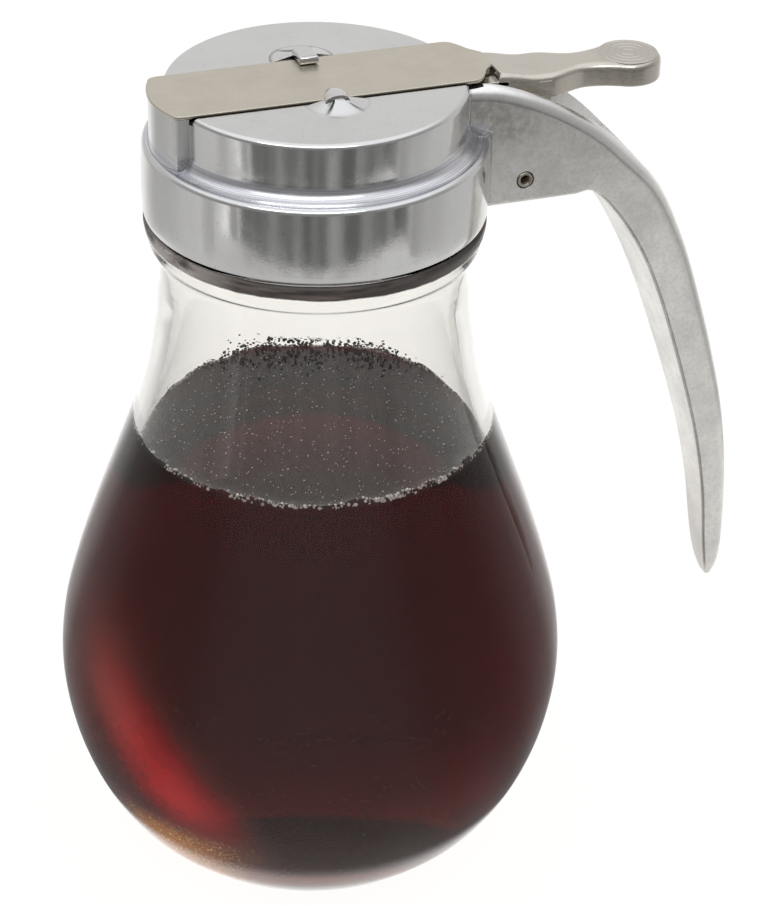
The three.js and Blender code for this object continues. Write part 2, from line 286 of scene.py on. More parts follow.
def inset(outline: np.ndarray, distance: float) -> np.ndarray:
    """A closed outline moved in by a distance: each point goes along the mean of the two normals beside it,
    further at a corner.

    Args:
        outline: Points in the plane, going round with the inside on the left.
        distance: How far in.

    Returns:
        The moved points.
    """
    ahead = np.roll(outline, -1, 0) - outline
    ahead /= np.linalg.norm(ahead, axis=1, keepdims=True)
    normal = np.stack([-ahead[:, 1], ahead[:, 0]], 1)
    mean = normal + np.roll(normal, 1, 0)
    mean /= np.linalg.norm(mean, axis=1, keepdims=True)
    reach = 1.0 / np.maximum((mean * normal).sum(1, keepdims=True), 0.5)
    return outline + mean * reach * distance


def rounded_plate(outline: np.ndarray, low: float, high: float, radius: float, steps: int = 4) -> Skin:
    """A plate with its rims rounded: rings of the outline go up the wall, and near each face draw in by
    radius * (1 - cos) while they rise by radius * sin.

    Args:
        outline: The plate's plan, going round with the inside on the left.
        low: Height of the underside.
        high: Height of the top.
        radius: Radius of the rims.
        steps: Spans of each rim.

    Returns:
        The closed plate.
    """
    angle = np.radians(np.linspace(0.0, 90.0, steps + 1))
    rows = [(radius * (1 - math.sin(a)), low + radius * (1 - math.cos(a))) for a in angle]
    rows += [(radius * (1 - math.cos(a)), high - radius * (1 - math.sin(a))) for a in angle]
    rows.append((radius + 0.06, high))
    rows.insert(0, (radius + 0.06, low))
    rings = []
    for back, z in rows:
        plan = inset(outline, back)
        rings.append(np.column_stack([plan, np.full(len(plan), z)]))
    return lofted(np.array(rings))


def block(low: Sequence[float], high: Sequence[float]) -> Skin:
    """A straight-sided block between two corners, to cut with.

    Args:
        low: The lowest corner.
        high: The highest corner.

    Returns:
        The closed block.
    """
    x, y = np.array([low[0], high[0], high[0], low[0]]), np.array([low[1], low[1], high[1], high[1]])
    rings = np.array([np.column_stack([x, y, np.full(4, z)]) for z in (low[2], high[2])])
    return lofted(rings)


def crosswise(outline: np.ndarray, half: float) -> Skin:
    """An outline in X and Z carried across Y from -half to +half.

    Args:
        outline: Points of X and Z, going round with the inside on the left seen from -Y.
        half: Half of the width.

    Returns:
        The closed solid.
    """
    rings = [np.column_stack([outline[:, 0], np.full(len(outline), y), outline[:, 1]]) for y in (half, -half)]
    return lofted(np.array(rings))


def bar(centre_x: float, centre_z: float, profile: np.ndarray, sides: int) -> Skin:
    """A turned shape laid along Y: its profile's height becomes y.

    Args:
        centre_x: Where its axis crosses X.
        centre_z: Height of its axis.
        profile: Radius and place along Y, one point a row.
        sides: Number of steps round.

    Returns:
        The surface with its axis along Y.
    """
    up = turned(profile, sides)
    laid = np.stack([up.points[:, 0], up.points[:, 2], -up.points[:, 1]], 1)
    return Skin(laid + np.array([centre_x, 0.0, centre_z]), up.faces)


def join(base: bpy.types.Object, skin: Skin, how: Shape) -> None:
    """Adds a solid to a piece or cuts it away, and leaves the piece with the finished mesh.

    Args:
        base: The piece to change.
        skin: The solid's surface.
        how: Add or cut.
    """
    tool = skin.piece("tool")
    change = base.modifiers.new("join", "BOOLEAN")
    change.operation, change.solver, change.object = how.value, "EXACT", tool
    bpy.context.view_layer.update()
    made = bpy.data.meshes.new_from_object(base.evaluated_get(bpy.context.evaluated_depsgraph_get()))
    base.modifiers.clear()
    old, base.data = base.data, made
    bpy.data.meshes.remove(old)
    bpy.data.objects.remove(tool)


def smooth_but_sharp(thing: bpy.types.Object, degrees: float, weighted: bool = True) -> None:
    """Shades a piece smooth except at edges sharper than an angle.

    Args:
        thing: The piece.
        degrees: The angle.
        weighted: Whether large faces keep their own direction at their edges.
    """
    mesh = thing.data
    mesh.shade_smooth()
    mesh.set_sharp_from_angle(angle=math.radians(degrees))
    if weighted:
        flat = thing.modifiers.new("even", "WEIGHTED_NORMAL")
        flat.keep_sharp, flat.weight = True, 60


# Finishes


class Sketch:
    """Nodes of one material or world, added and linked by short calls."""

    def __init__(self, name: str, world: bool = False) -> None:
        """Starts an empty material or world with an output.

        Args:
            name: Its name.
            world: Whether it is a world.
        """
        self.made = bpy.data.worlds.new(name) if world else bpy.data.materials.new(name)
        self.made.use_nodes = True
        self.tree = self.made.node_tree
        self.tree.nodes.clear()
        self.out = self.tree.nodes.new("ShaderNodeOutputWorld" if world else "ShaderNodeOutputMaterial")

    def node(self, kind: str, **values: Any) -> bpy.types.Node:
        """Adds a node.

        Args:
            kind: The node's type, without its usual first part.
            values: Its settings, or its inputs with underscores for spaces or as i and a number. A socket
                is linked.

        Returns:
            The node.
        """
        made = self.tree.nodes.new("ShaderNode" + kind)
        for key, value in values.items():
            if hasattr(made, key) and key not in made.inputs:
                setattr(made, key, value)
                continue
            name = int(key[1:]) if key[0] == "i" and key[1:].isdigit() else key.replace("_", " ")
            self.put(made.inputs[name], value)
        return made

    def put(self, socket: Socket, value: Any) -> None:
        """Links a socket to another, or sets its value.

        Args:
            socket: The input.
            value: A socket, a number, or a colour of three numbers.
        """
        if isinstance(value, bpy.types.NodeSocket):
            self.tree.links.new(value, socket)
        elif isinstance(value, tuple) and len(value) == 3 and len(socket.default_value) == 4:
            socket.default_value = (*value, 1.0)
        else:
            socket.default_value = value

    def place(self, scale: tuple[float, float, float] = (1.0, 1.0, 1.0)) -> Socket:
        """Where a point lies on the part, in metres times a scale for each axis."""
        where = self.node("TexCoord").outputs["Object"]
        return self.node("Mapping", Vector=where, Scale=scale).outputs[0]

    def axes(self) -> bpy.types.Node:
        """Where a point lies, split into its three axes in metres."""
        return self.node("SeparateXYZ", Vector=self.node("TexCoord").outputs["Object"])

    def around(self) -> Socket:
        """Angle round the part's Z axis in radians, from its -Y side towards +X."""
        where = self.axes()
        return self.maths("ARCTAN2", where.outputs["X"], self.maths("MULTIPLY", where.outputs["Y"], -1.0))

    def mix(self, share: Any, first: Any, second: Any) -> Socket:
        """Two numbers mixed by a share."""
        return self.node("Mix", data_type="FLOAT", i0=share, i2=first, i3=second).outputs[0]

    def hill(self, value: Socket, centre: Any, below: float, above: float) -> Socket:
        """A smooth hill of 1 at a centre, gone at a distance below it and at another above it."""
        off = self.maths("SUBTRACT", value, centre)
        return self.maths("MULTIPLY", self.span(off, -below, 0.0), self.span(off, above, 0.0))

    def noise(self, scale: float, detail: float = 3.0, stretch: Place = (1.0, 1.0, 1.0)) -> Socket:
        """Even cloudy noise from 0 to 1, its scale in cells a metre, stretched by a scale for each axis."""
        made = self.node("TexNoise", Vector=self.place(stretch), Scale=scale, Detail=detail, Roughness=0.6)
        return made.outputs["Fac"]

    def maths(self, operation: str, first: Any, second: Any = 0.0, third: Any = 0.0) -> Socket:
        """One sum on numbers or sockets.

        Args:
            operation: Its name.
            first: The first number.
            second: The second number.
            third: The third number.

        Returns:
            The result.
        """
        made = self.node("Math", operation=operation)
        for socket, value in zip(made.inputs, (first, second, third)):
            self.put(socket, value)
        return made.outputs[0]

    def times(self, *factors: Any) -> Socket:
        """The product of two or more numbers or sockets."""
        return reduce(lambda before, factor: self.maths("MULTIPLY", before, factor), factors)

    def span(self, value: Any, low: float, high: float, to_low: float = 0.0, to_high: float = 1.0) -> Socket:
        """A value's range carried over to another, smoothly and held at its ends.

        Args:
            value: The value.
            low: Where its range starts.
            high: Where its range ends, which may be below the start.
            to_low: The result at the start.
            to_high: The result at the end.

        Returns:
            The result.
        """
        made = self.node("MapRange", interpolation_type="SMOOTHSTEP", Value=value)
        made.inputs["From Min"].default_value, made.inputs["From Max"].default_value = low, high
        made.inputs["To Min"].default_value, made.inputs["To Max"].default_value = to_low, to_high
        return made.outputs[0]

    def blend(self, share: Any, first: Any, second: Any) -> Socket:
        """Two colours mixed by a share.

        Args:
            share: How much of the second colour.
            first: The first colour.
            second: The second colour.

        Returns:
            The mixed colour.
        """
        made = self.node("Mix", data_type="RGBA", blend_type="MIX")
        self.put(made.inputs[0], share)
        self.put(made.inputs[6], first)
        self.put(made.inputs[7], second)
        return made.outputs[2]

    def ring(self, turn: Socket, stops: Sequence[tuple[float, float]]) -> Socket:
        """A value read off stops by an angle, eased between them.

        Args:
            turn: The angle in radians.
            stops: Degrees and value of each stop.

        Returns:
            The value.
        """
        made = self.node("ValToRGB", Fac=self.maths("MULTIPLY_ADD", turn, 0.5 / math.pi, 0.5))
        ramp = made.color_ramp
        ramp.interpolation = "EASE"
        while len(ramp.elements) < len(stops):
            ramp.elements.new(0.5)
        for element, (degrees, value) in zip(ramp.elements, stops):
            element.position = degrees / 360.0 + 0.5
            element.color = (value, value, value, 1.0)
        return made.outputs[0]

    def bump(
        self, height: Socket, depth: float, strength: float = 1.0, normal: Socket | None = None
    ) -> Socket:
        """A surface direction from a height.

        Args:
            height: The height from 0 to 1.
            depth: What a height of 1 measures in metres.
            strength: How much of it counts.
            normal: A surface direction to start from.

        Returns:
            The surface direction.
        """
        made = self.node("Bump", Height=height, Distance=depth, Strength=strength)
        if normal is not None:
            self.put(made.inputs["Normal"], normal)
        return made.outputs[0]

    def finish(self, shader: Socket, volume: Socket | None = None) -> bpy.types.ID:
        """Ends the material or world.

        Args:
            shader: Its surface.
            volume: What fills it, if anything.

        Returns:
            The material or world.
        """
        self.put(self.out.inputs["Surface"], shader)
        if volume is not None:
            self.put(self.out.inputs["Volume"], volume)
        return self.made


@dataclass(frozen=True)
class ClearGlass:
    """Pressed soda glass, faintly warm, with a slow waviness from the mould."""

    name: str = "clear pressed glass"
    tint: Colour = (0.995, 0.988, 0.967)
    thick_tint: Colour = (0.978, 0.968, 0.945)
    bend: float = 1.5
    wave_cells: float = 70.0
    wave_depth: float = 0.00012
    wet_mark: str = "wet"

    def material(self) -> bpy.types.Material:
        """The glass as a material. Where syrup wets the inside, the wall has no gloss of its own.

        Returns:
            The material.
        """
        s = Sketch(self.name)
        wave = s.noise(self.wave_cells, 1.5, (1.0, 1.0, 0.45))
        colour = s.blend(s.noise(40.0, 2.0, (1.0, 1.0, 0.3)), self.tint, self.thick_tint)
        wavy = s.bump(wave, self.wave_depth, 0.5)
        dry = s.node(
            "BsdfPrincipled",
            Base_Color=colour,
            Roughness=0.0,
            IOR=self.bend,
            Transmission_Weight=1.0,
            Normal=wavy,
        )
        wet = s.node("BsdfRefraction", Color=colour, Roughness=0.0, IOR=self.bend)
        share = s.node("Attribute", attribute_name=self.wet_mark).outputs["Fac"]
        mixed = s.node("MixShader", i0=share, i1=dry.outputs[0], i2=wet.outputs[0])
        return s.finish(mixed.outputs[0])


@dataclass(frozen=True)
class DarkSyrup:
    """Dark pancake syrup: clear, red-brown, and almost black where it is deep, with a trace of cloudiness.
    A red patch and a paler one beside it are painted light that passes through it, an orange patch low on
    the same side is painted light too, and the syrup is paler brown near the floor."""

    name: str = "dark syrup"
    bend: float = 1.43
    skin_bend: float = 1.39
    skin_tint: Colour = (1.0, 0.84, 0.8)
    passed: Colour = (0.78, 0.383, 0.11)
    density: float = 230.0
    level: float = 82.3
    cloud: float = 0.018
    # Shares of haze; those of the red, pale and orange patches are painted light.
    glow_share: float = 0.56
    mist_share: float = 0.05
    pale_glow_share: float = 0.1
    low_share: float = 0.34
    orange_glow_share: float = 1.15
    most_share: float = 0.97
    # Height, lean and angles of the red patch of painted light and of the pale and orange patches beside it.
    glow_height: float = 0.03
    glow_lean: float = -18.0
    glow_turn: float = -0.974
    pale_glow_turn: float = -1.354
    orange_glow_turn: float = -1.074
    # Colours of the red and the pale pink patches of painted light.
    red: Colour = (0.98, 0.04, 0.045)
    pink: Colour = (0.95, 0.34, 0.27)

    def material(self) -> bpy.types.Material:
        """The syrup as a material with colour soaked up through its depth. Only its open skin is glossy,
        because against the glass it has nothing to reflect.

        Returns:
            The material.
        """
        s = Sketch(self.name)
        colour = s.blend(s.noise(55.0, 2.0), (0.97, 0.94, 0.92), (0.99, 0.97, 0.95))
        skin = s.node(
            "BsdfPrincipled",
            Base_Color=colour,
            Roughness=0.02,
            IOR=self.skin_bend,
            Transmission_Weight=1.0,
            Normal=s.bump(s.noise(160.0, 2.0), 0.00003, 0.4),
        )
        s.put(skin.inputs["Specular Tint"], self.skin_tint)
        side = s.node("BsdfRefraction", Color=colour, Roughness=0.0, IOR=self.bend)
        share, tone = self.scatter(s)
        haze = s.node("BsdfDiffuse", Color=tone)
        cloudy = s.node("MixShader", i0=share, i1=side.outputs[0], i2=haze.outputs[0])
        top = s.span(s.axes().outputs["Z"], (self.level - 0.12) * MM, (self.level - 0.04) * MM)
        mixed = s.node("MixShader", i0=top, i1=cloudy.outputs[0], i2=skin.outputs[0])
        soak = s.node("VolumeAbsorption", Color=self.passed, Density=self.density)
        return s.finish(mixed.outputs[0], soak.outputs[0])

    def glow(self, s: Sketch, turn: Socket, z: Socket, cloud: Socket) -> Socket:
        """The red patch of painted light: a streak low on one side that leans with the height and fades all
        round.

        Args:
            s: The material's nodes.
            turn: Angle round the part.
            z: Height.
            cloud: A slow noise that makes it uneven.

        Returns:
            How strong it is.
        """
        above = s.maths("SUBTRACT", z, self.glow_height)
        line = s.maths("MULTIPLY_ADD", above, self.glow_lean, self.glow_turn)
        streak = s.times(s.hill(turn, line, 0.36, 0.46), s.hill(z, 0.0295, 0.0155, 0.031))
        return s.maths("POWER", s.times(streak, s.span(cloud, 0.2, 0.7, 0.8, 1.1)), 1.4)

    def scatter(self, s: Sketch) -> tuple[Socket, Socket]:
        """How much the syrup scatters just behind the glass, and its colour: a trace of dull red all over,
        paler brown near the floor with dark streaks, and painted light: the red patch with a paler one beside
        it, and an orange patch low on the same side.

        Args:
            s: The material's nodes.

        Returns:
            The share that scatters, and its colour.
        """
        turn, z = s.around(), s.axes().outputs["Z"]
        cloud = s.noise(60.0, 3.0)
        grain = s.span(s.noise(2300.0, 2.0), 0.55, 0.68)
        glow = self.glow(s, turn, z, cloud)
        streak = s.noise(170.0, 3.0, (0.35, 0.35, 3.0))
        low = s.times(s.span(z, 0.0135, 0.0095), s.span(streak, 0.38, 0.58, 0.25, 1.0))
        mist = s.times(s.span(z, 0.036, 0.016), s.mix(grain, 0.5, 1.0))
        # Painted light: an orange patch low on the red patch's side.
        orange_glow = s.times(s.hill(turn, self.orange_glow_turn, 0.36, 0.7), s.span(z, 0.0225, 0.0155))
        orange_glow = s.times(orange_glow, s.mix(grain, 0.5, 1.1))
        # Painted light: a paler pink patch beside the red patch.
        pale_glow = s.times(s.hill(turn, self.pale_glow_turn, 0.4, 0.4), s.hill(z, 0.042, 0.02, 0.022))
        share: Any = self.cloud
        for part, strength in (
            (glow, self.glow_share),
            (mist, self.mist_share),
            (pale_glow, self.pale_glow_share),
            (s.times(low, s.mix(grain, 0.5, 1.2)), self.low_share),
            (orange_glow, self.orange_glow_share),
        ):
            share = s.maths("MULTIPLY_ADD", part, strength, share)
        # Paler brown near the floor.
        low_brown = s.blend(grain, (0.46, 0.27, 0.16), (0.9, 0.66, 0.42))
        # Colour of the orange patch of painted light.
        orange_glow_tone = s.blend(grain, (1.0, 0.36, 0.06), (1.0, 0.8, 0.42))
        tone = s.blend(cloud, (0.9, 0.2, 0.16), (0.8, 0.2, 0.15))
        tone = s.blend(s.maths("MAXIMUM", low, s.times(mist, 0.6)), tone, low_brown)
        # Painted light tints the scattered colour: the red, pale pink and orange patches.
        tone = s.blend(s.span(glow, 0.0, 0.3), tone, self.red)
        tone = s.blend(s.times(pale_glow, 0.5), tone, self.pink)
        tone = s.blend(s.span(orange_glow, 0.0, 0.45), tone, orange_glow_tone)
        return s.maths("MINIMUM", share, self.most_share), tone


@dataclass(frozen=True)
class BubbleSkin:
    """White air bubbles and dust caught in the syrup's skin."""

    name: str = "bubble skin"
    colour: Colour = (0.98, 0.975, 0.96)
    brown: Colour = (0.88, 0.8, 0.74)

    def material(self) -> bpy.types.Material:
        """The bubbles as a material.

        Returns:
            The material.
        """
        s = Sketch(self.name)
        colour = s.blend(s.noise(900.0, 2.0), self.colour, self.brown)
        return s.finish(s.node("BsdfPrincipled", Base_Color=colour, Roughness=0.12, IOR=1.4).outputs[0])


@dataclass(frozen=True)
class StickyDrop:
    """Syrup drawn up the glass in small dark drops, browner where they are thin."""

    name: str = "sticky drops"
    deep: Colour = (0.018, 0.011, 0.01)
    thin: Colour = (0.12, 0.07, 0.055)

    def material(self) -> bpy.types.Material:
        """The drops as a material.

        Returns:
            The material.
        """
        s = Sketch(self.name)
        colour = s.blend(s.span(s.noise(700.0, 2.0), 0.45, 0.7), self.deep, self.thin)
        return s.finish(s.node("BsdfPrincipled", Base_Color=colour, Roughness=0.12, IOR=1.45).outputs[0])


@dataclass(frozen=True)
class ShadeAndResidueFilm:
    """A patchy, partly clear brown film in the gap between the glass and the cap: dried syrup, and painted
    shade for the shadow under the collar and the cap's dark inside seen through the glass.
    """

    name: str = "neck shade and residue film"
    # Browns of dried syrup and of painted shade under the collar.
    dark: Colour = (0.022, 0.016, 0.014)
    light: Colour = (0.1, 0.078, 0.068)
    worn: Colour = (0.42, 0.37, 0.345)
    worn_turn: float = -1.304

    def material(self) -> bpy.types.Material:
        """The film as a material that lets light through where it is thin: below its ragged lower edge, and
        in patches on one side.

        Returns:
            The material.
        """
        s = Sketch(self.name)
        patch = s.noise(420.0, 4.0, (0.22, 0.22, 2.2))
        worn = s.span(s.noise(260.0, 4.0, (0.6, 0.6, 1.6)), 0.36, 0.6)
        thin = s.times(s.hill(s.around(), self.worn_turn, 0.75, 0.7), worn)
        # Dark brown: dried syrup and painted shade under the collar.
        brown = s.blend(s.span(patch, 0.4, 0.7), self.dark, self.light)
        shader = s.node(
            "BsdfPrincipled",
            Base_Color=s.blend(s.times(thin, 0.8), brown, self.worn),
            Roughness=s.span(patch, 0.3, 0.7, 0.25, 0.6),
        )
        through = s.node("BsdfTransparent", Color=(1.0, 1.0, 1.0))
        ragged = s.maths("ADD", s.axes().outputs["Z"], s.times(s.noise(140.0, 3.0), 0.0008))
        share = s.maths("MAXIMUM", s.span(ragged, 0.1208, 0.1212, 1.0, 0.02), s.times(thin, 0.35))
        mixed = s.node("MixShader", i0=share, i1=shader.outputs[0], i2=through.outputs[0])
        return s.finish(mixed.outputs[0])


@dataclass(frozen=True)
class CastMarks:
    """Where each region of the casting lies, as marks from 0 to 1, and the noises that its colour, gloss
    and relief share."""

    x: Socket
    y: Socket
    height: Socket
    facing: bpy.types.Node
    handle: Socket
    top_polish_and_highlight: Socket
    pocket: Socket
    groove: Socket
    ledge: Socket
    cloud: Socket
    speck: Socket
    drag: Socket
    mottle: Socket


@dataclass(frozen=True)
class CastMetal:
    """Polished casting: bright on the turned cap, satin on the bracket and handle, with fine pits, drag
    marks and cloudy wear."""

    name: str = "polished casting"
    bright: Colour = (0.68, 0.68, 0.675)
    warm: Colour = (0.86, 0.845, 0.815)
    dull: Colour = (0.66, 0.645, 0.62)
    corner: Colour = (0.42, 0.405, 0.39)
    # Painted shadow line under the handle's rims.
    painted_shadow_under_rim: Colour = (0.34, 0.33, 0.32)
    # Painted dark reflection on the inner face of the tip.
    tip: Colour = (0.5, 0.48, 0.46)
    # Painted highlight: lighter colour on the handle's upward-facing rims.
    painted_highlight: Colour = (0.9, 0.895, 0.885)
    worn: Colour = (0.5, 0.49, 0.475)
    pitted: Colour = (0.28, 0.27, 0.26)
    # Soiling and painted shade for the groove and the lugs' creases, and painted shadow at the lugs' feet.
    dirt_and_shade: Colour = (0.04, 0.036, 0.034)
    raw: tuple[Colour, Colour] = ((0.88, 0.87, 0.86), (0.7, 0.69, 0.68))
    # Turned lines on the ledge, in a painted bluish reflection tone.
    turned_lines_and_reflection: tuple[Colour, Colour] = ((0.52, 0.52, 0.55), (0.7, 0.7, 0.74))
    turned_rough: float = 0.1
    satin_rough: float = 0.32
    edge_radius: float = 0.00022
    step: tuple[float, float] = (0.1368, 0.1392)
    collar_edge: float = 0.02882
    cover_edge: float = 0.02508
    ledge_radii: tuple[float, float] = (0.02485, 0.02835)
    ledge_heights: tuple[float, float] = (0.1363, 0.1394)
    pocket: tuple[Place, Place] = ((0.026, -0.00685, 0.1238), (0.0557, 0.00685, 0.1462))
    groove: tuple[Place, Place] = ((-0.0238, -0.00865, 0.1448), (0.0262, 0.00865, 0.14597))

    def material(self) -> bpy.types.Material:
        """The casting as a material.

        Returns:
            The material.
        """
        s = Sketch(self.name)
        marks = self.marks(s)
        out = self.radius(s)
        shader = s.node(
            "BsdfPrincipled",
            Base_Color=self.colour(s, marks, out),
            Metallic=s.maths("SUBTRACT", 1.0, marks.pocket),
            Roughness=self.rough(s, marks),
            Normal=self.relief(s, marks),
        )
        return s.finish(shader.outputs[0])

    def marks(self, s: Sketch) -> CastMarks:
        """Marks the casting's regions: the bracket and handle lie past the cap's wall, which steps in from
        the collar to the cover.

        Args:
            s: The material's nodes.

        Returns:
            The marks.
        """
        where = s.axes().outputs
        height, out = where["Z"], self.radius(s)
        wall = s.span(height, *self.step, self.collar_edge, self.cover_edge)
        past = s.span(s.maths("SUBTRACT", out, wall), 0.0, 0.0003)
        handle = s.times(past, s.maths("GREATER_THAN", where["X"], 0.0))
        facing = s.node("SeparateXYZ", Vector=s.node("NewGeometry").outputs["Normal"])
        near, far = self.ledge_radii
        low, high = self.ledge_heights
        ledge = s.times(
            s.span(out, near, near + 0.00015),
            s.span(out, far, far - 0.0002),
            s.span(height, low, low + 0.00015),
            s.span(height, high, high - 0.0012),
        )
        return CastMarks(
            x=where["X"],
            y=where["Y"],
            height=height,
            facing=facing,
            handle=handle,
            # Upward-facing faces of the handle: smoother, and lighter as a painted highlight.
            top_polish_and_highlight=s.times(handle, s.span(facing.outputs["Z"], 0.12, 0.4)),
            pocket=self.inside(s, *self.pocket),
            groove=self.inside(s, *self.groove),
            ledge=ledge,
            cloud=s.noise(120.0, 5.0),
            speck=s.noise(2600.0, 2.0),
            drag=s.noise(700.0, 3.0, (1.0, 1.0, 0.12)),
            mottle=s.noise(330.0, 4.0),
        )

    def cast_colour(self, s: Sketch, m: CastMarks) -> Socket:
        """Colour of the bracket and handle: mottled and grained, darker in the corner by the cap, with a
        painted shadow line under the rims, a painted dark reflection on the inner face of the tip, and a
        painted highlight on the upward-facing rims.

        Args:
            s: The material's nodes.
            m: The casting's marks.

        Returns:
            The colour.
        """
        cast = s.blend(s.span(m.mottle, 0.3, 0.75, 0.0, 0.5), self.warm, self.dull)
        cast = s.blend(s.span(s.noise(1500.0, 2.0), 0.42, 0.66, 0.0, 0.5), cast, self.dull)
        corner = s.times(s.span(m.x, 0.0385, 0.031), s.span(m.height, 0.1315, 0.138))
        patchy = s.span(s.noise(800.0, 3.0), 0.3, 0.65, 0.3, 0.85)
        cast = s.blend(s.times(corner, patchy), cast, self.corner)
        # Painted shadow: a dark line where the faces tilt just upwards, under the rims.
        painted_shadow_under_rim = s.hill(m.facing.outputs["Z"], 0.1, 0.08, 0.13)
        cast = s.blend(s.times(painted_shadow_under_rim, 0.45), cast, self.painted_shadow_under_rim)
        # Painted reflection: the inner face darker towards the tip.
        inner_face = s.span(m.facing.outputs["X"], -0.4, -0.7)
        tip = s.times(inner_face, s.span(m.height, 0.066, 0.04, 0.0, 0.75))
        cast = s.blend(s.times(m.handle, tip), cast, self.tip)
        # Painted highlight on the upward-facing rims.
        return s.blend(m.top_polish_and_highlight, cast, self.painted_highlight)

    def colour(self, s: Sketch, m: CastMarks, out: Socket) -> Socket:
        """Colour all over: the turned cap or the cast handle, worn in clouds and pitted, with a raw pocket,
        the ledge's turned lines in a painted bluish reflection tone, and soiling with painted shade darkening
        the groove and the lugs' creases, and a painted shadow round the lugs' feet.

        Args:
            s: The material's nodes.
            m: The casting's marks.
            out: Distance from the Z axis.

        Returns:
            The colour.
        """
        line = s.node(
            "TexNoise",
            noise_dimensions="1D",
            W=s.maths("SUBTRACT", out, m.height),
            Scale=2600.0,
            Detail=1.0,
        )
        # The ledge's turned lines, in a painted bluish reflection tone.
        turned_and_reflected = s.blend(s.span(line.outputs["Fac"], 0.4, 0.6), *self.turned_lines_and_reflection)
        # Soiling and painted shade: the groove, and the lugs' creases and feet, darkened.
        grime = s.node("Attribute", attribute_name="grime").outputs["Fac"]
        colour = s.blend(m.handle, self.bright, self.cast_colour(s, m))
        colour = s.blend(s.span(m.cloud, 0.35, 0.75, 0.0, 0.22), colour, self.worn)
        colour = s.blend(s.span(m.speck, 0.66, 0.74, 0.0, 0.5), colour, self.pitted)
        colour = s.blend(m.pocket, colour, s.blend(s.noise(900.0, 3.0), *self.raw))
        colour = s.blend(m.ledge, colour, turned_and_reflected)
        return s.blend(s.maths("MAXIMUM", m.groove, grime), colour, self.dirt_and_shade)

    def rough(self, s: Sketch, m: CastMarks) -> Socket:
        """Roughness: low on the turned cap and higher on the handle, uneven with the clouds and drag marks,
        with steps for the pocket and groove, the ledge, the polished upward-facing rims and the nose's
        corners.

        Args:
            s: The material's nodes.
            m: The casting's marks.

        Returns:
            The roughness.
        """
        corners = s.times(
            s.span(m.x, -0.0232, -0.0238),
            s.span(s.maths("ABSOLUTE", m.y), 0.0058, 0.0072),
            s.span(m.height, 0.1385, 0.1396),
        )
        rough: Any = s.mix(m.handle, self.turned_rough, self.satin_rough)
        for more in (
            s.span(m.cloud, 0.3, 0.8, -0.03, 0.1),
            s.span(m.drag, 0.4, 0.7, 0.0, 0.04),
            s.times(s.maths("MAXIMUM", m.pocket, m.groove), 0.4),
            s.times(m.ledge, 0.12),
            s.times(m.top_polish_and_highlight, -0.1),
            s.times(corners, 0.34),
        ):
            rough = s.maths("ADD", rough, more)
        return rough

    def relief(self, s: Sketch, m: CastMarks) -> Socket:
        """Relief: soft edges, a slow swell, uneven clouds, cast grit that is strongest on the handle, and
        fine drag marks.

        Args:
            s: The material's nodes.
            m: The casting's marks.

        Returns:
            The surface direction.
        """
        edge = s.node("Bevel", samples=6, Radius=self.edge_radius).outputs[0]
        slow = s.bump(s.noise(48.0, 1.0, (1.0, 1.0, 0.4)), 0.00022, 1.0, edge)
        uneven = s.bump(m.cloud, 0.0001, 0.35, slow)
        grit = s.times(m.mottle, s.maths("MULTIPLY_ADD", m.handle, 0.8, 0.2))
        gritty = s.bump(grit, 0.00006, 0.5, uneven)
        return s.bump(s.times(m.drag, m.speck), 0.00002, 0.4, gritty)

    @staticmethod
    def radius(s: Sketch) -> Socket:
        """Distance from the Z axis in metres.

        Args:
            s: The material's nodes.

        Returns:
            The distance.
        """
        where = s.axes()
        square = s.times(where.outputs["X"], where.outputs["X"])
        return s.maths("SQRT", s.maths("MULTIPLY_ADD", where.outputs["Y"], where.outputs["Y"], square))

    @staticmethod
    def inside(s: Sketch, low: Place, high: Place) -> Socket:
        """A mark of 1 inside a box between two corners in metres, and 0 outside.

        Args:
            s: The material's nodes.
            low: The lowest corner.
            high: The highest corner.

        Returns:
            The mark.
        """
        where = s.axes().outputs
        sides = [s.maths("GREATER_THAN", where[axis], least) for axis, least in zip("XYZ", low)]
        sides += [s.maths("LESS_THAN", where[axis], most) for axis, most in zip("XYZ", high)]
        return s.times(*sides)


@dataclass(frozen=True)
class SatinSheet:
    """Stainless sheet with a fine grain along its length and a warm cast."""

    name: str
    colour: Colour = (0.62, 0.57, 0.5)
    dull: Colour = (0.5, 0.455, 0.4)
    rough: float = 0.3
    grain: Place = (0.05, 1.0, 1.0)
    pad: tuple[float, float] = (0.048, 0.0515)

    def material(self) -> bpy.types.Material:
        """The sheet as a material, duller past the lever's waist.

        Returns:
            The material.
        """
        s = Sketch(self.name)
        grain = s.noise(4200.0, 2.0, self.grain)
        cloud = s.noise(150.0, 4.0)
        colour = s.blend(s.span(cloud, 0.3, 0.75, 0.0, 0.5), self.colour, self.dull)
        colour = s.blend(s.span(grain, 0.35, 0.7, 0.0, 0.22), colour, self.dull)
        colour = s.blend(s.span(s.axes().outputs["X"], *self.pad, 0.0, 0.7), colour, self.dull)
        grained = s.span(grain, 0.3, 0.7, self.rough - 0.05, self.rough + 0.07)
        rough = s.maths("ADD", grained, s.span(cloud, 0.3, 0.8, 0.0, 0.06))
        edge = s.node("Bevel", samples=6, Radius=0.00015).outputs[0]
        fine = s.bump(grain, 0.000006, 0.3, s.bump(cloud, 0.00008, 0.3, edge))
        shader = s.node("BsdfPrincipled", Base_Color=colour, Metallic=1.0, Roughness=rough, Normal=fine)
        return s.finish(shader.outputs[0])


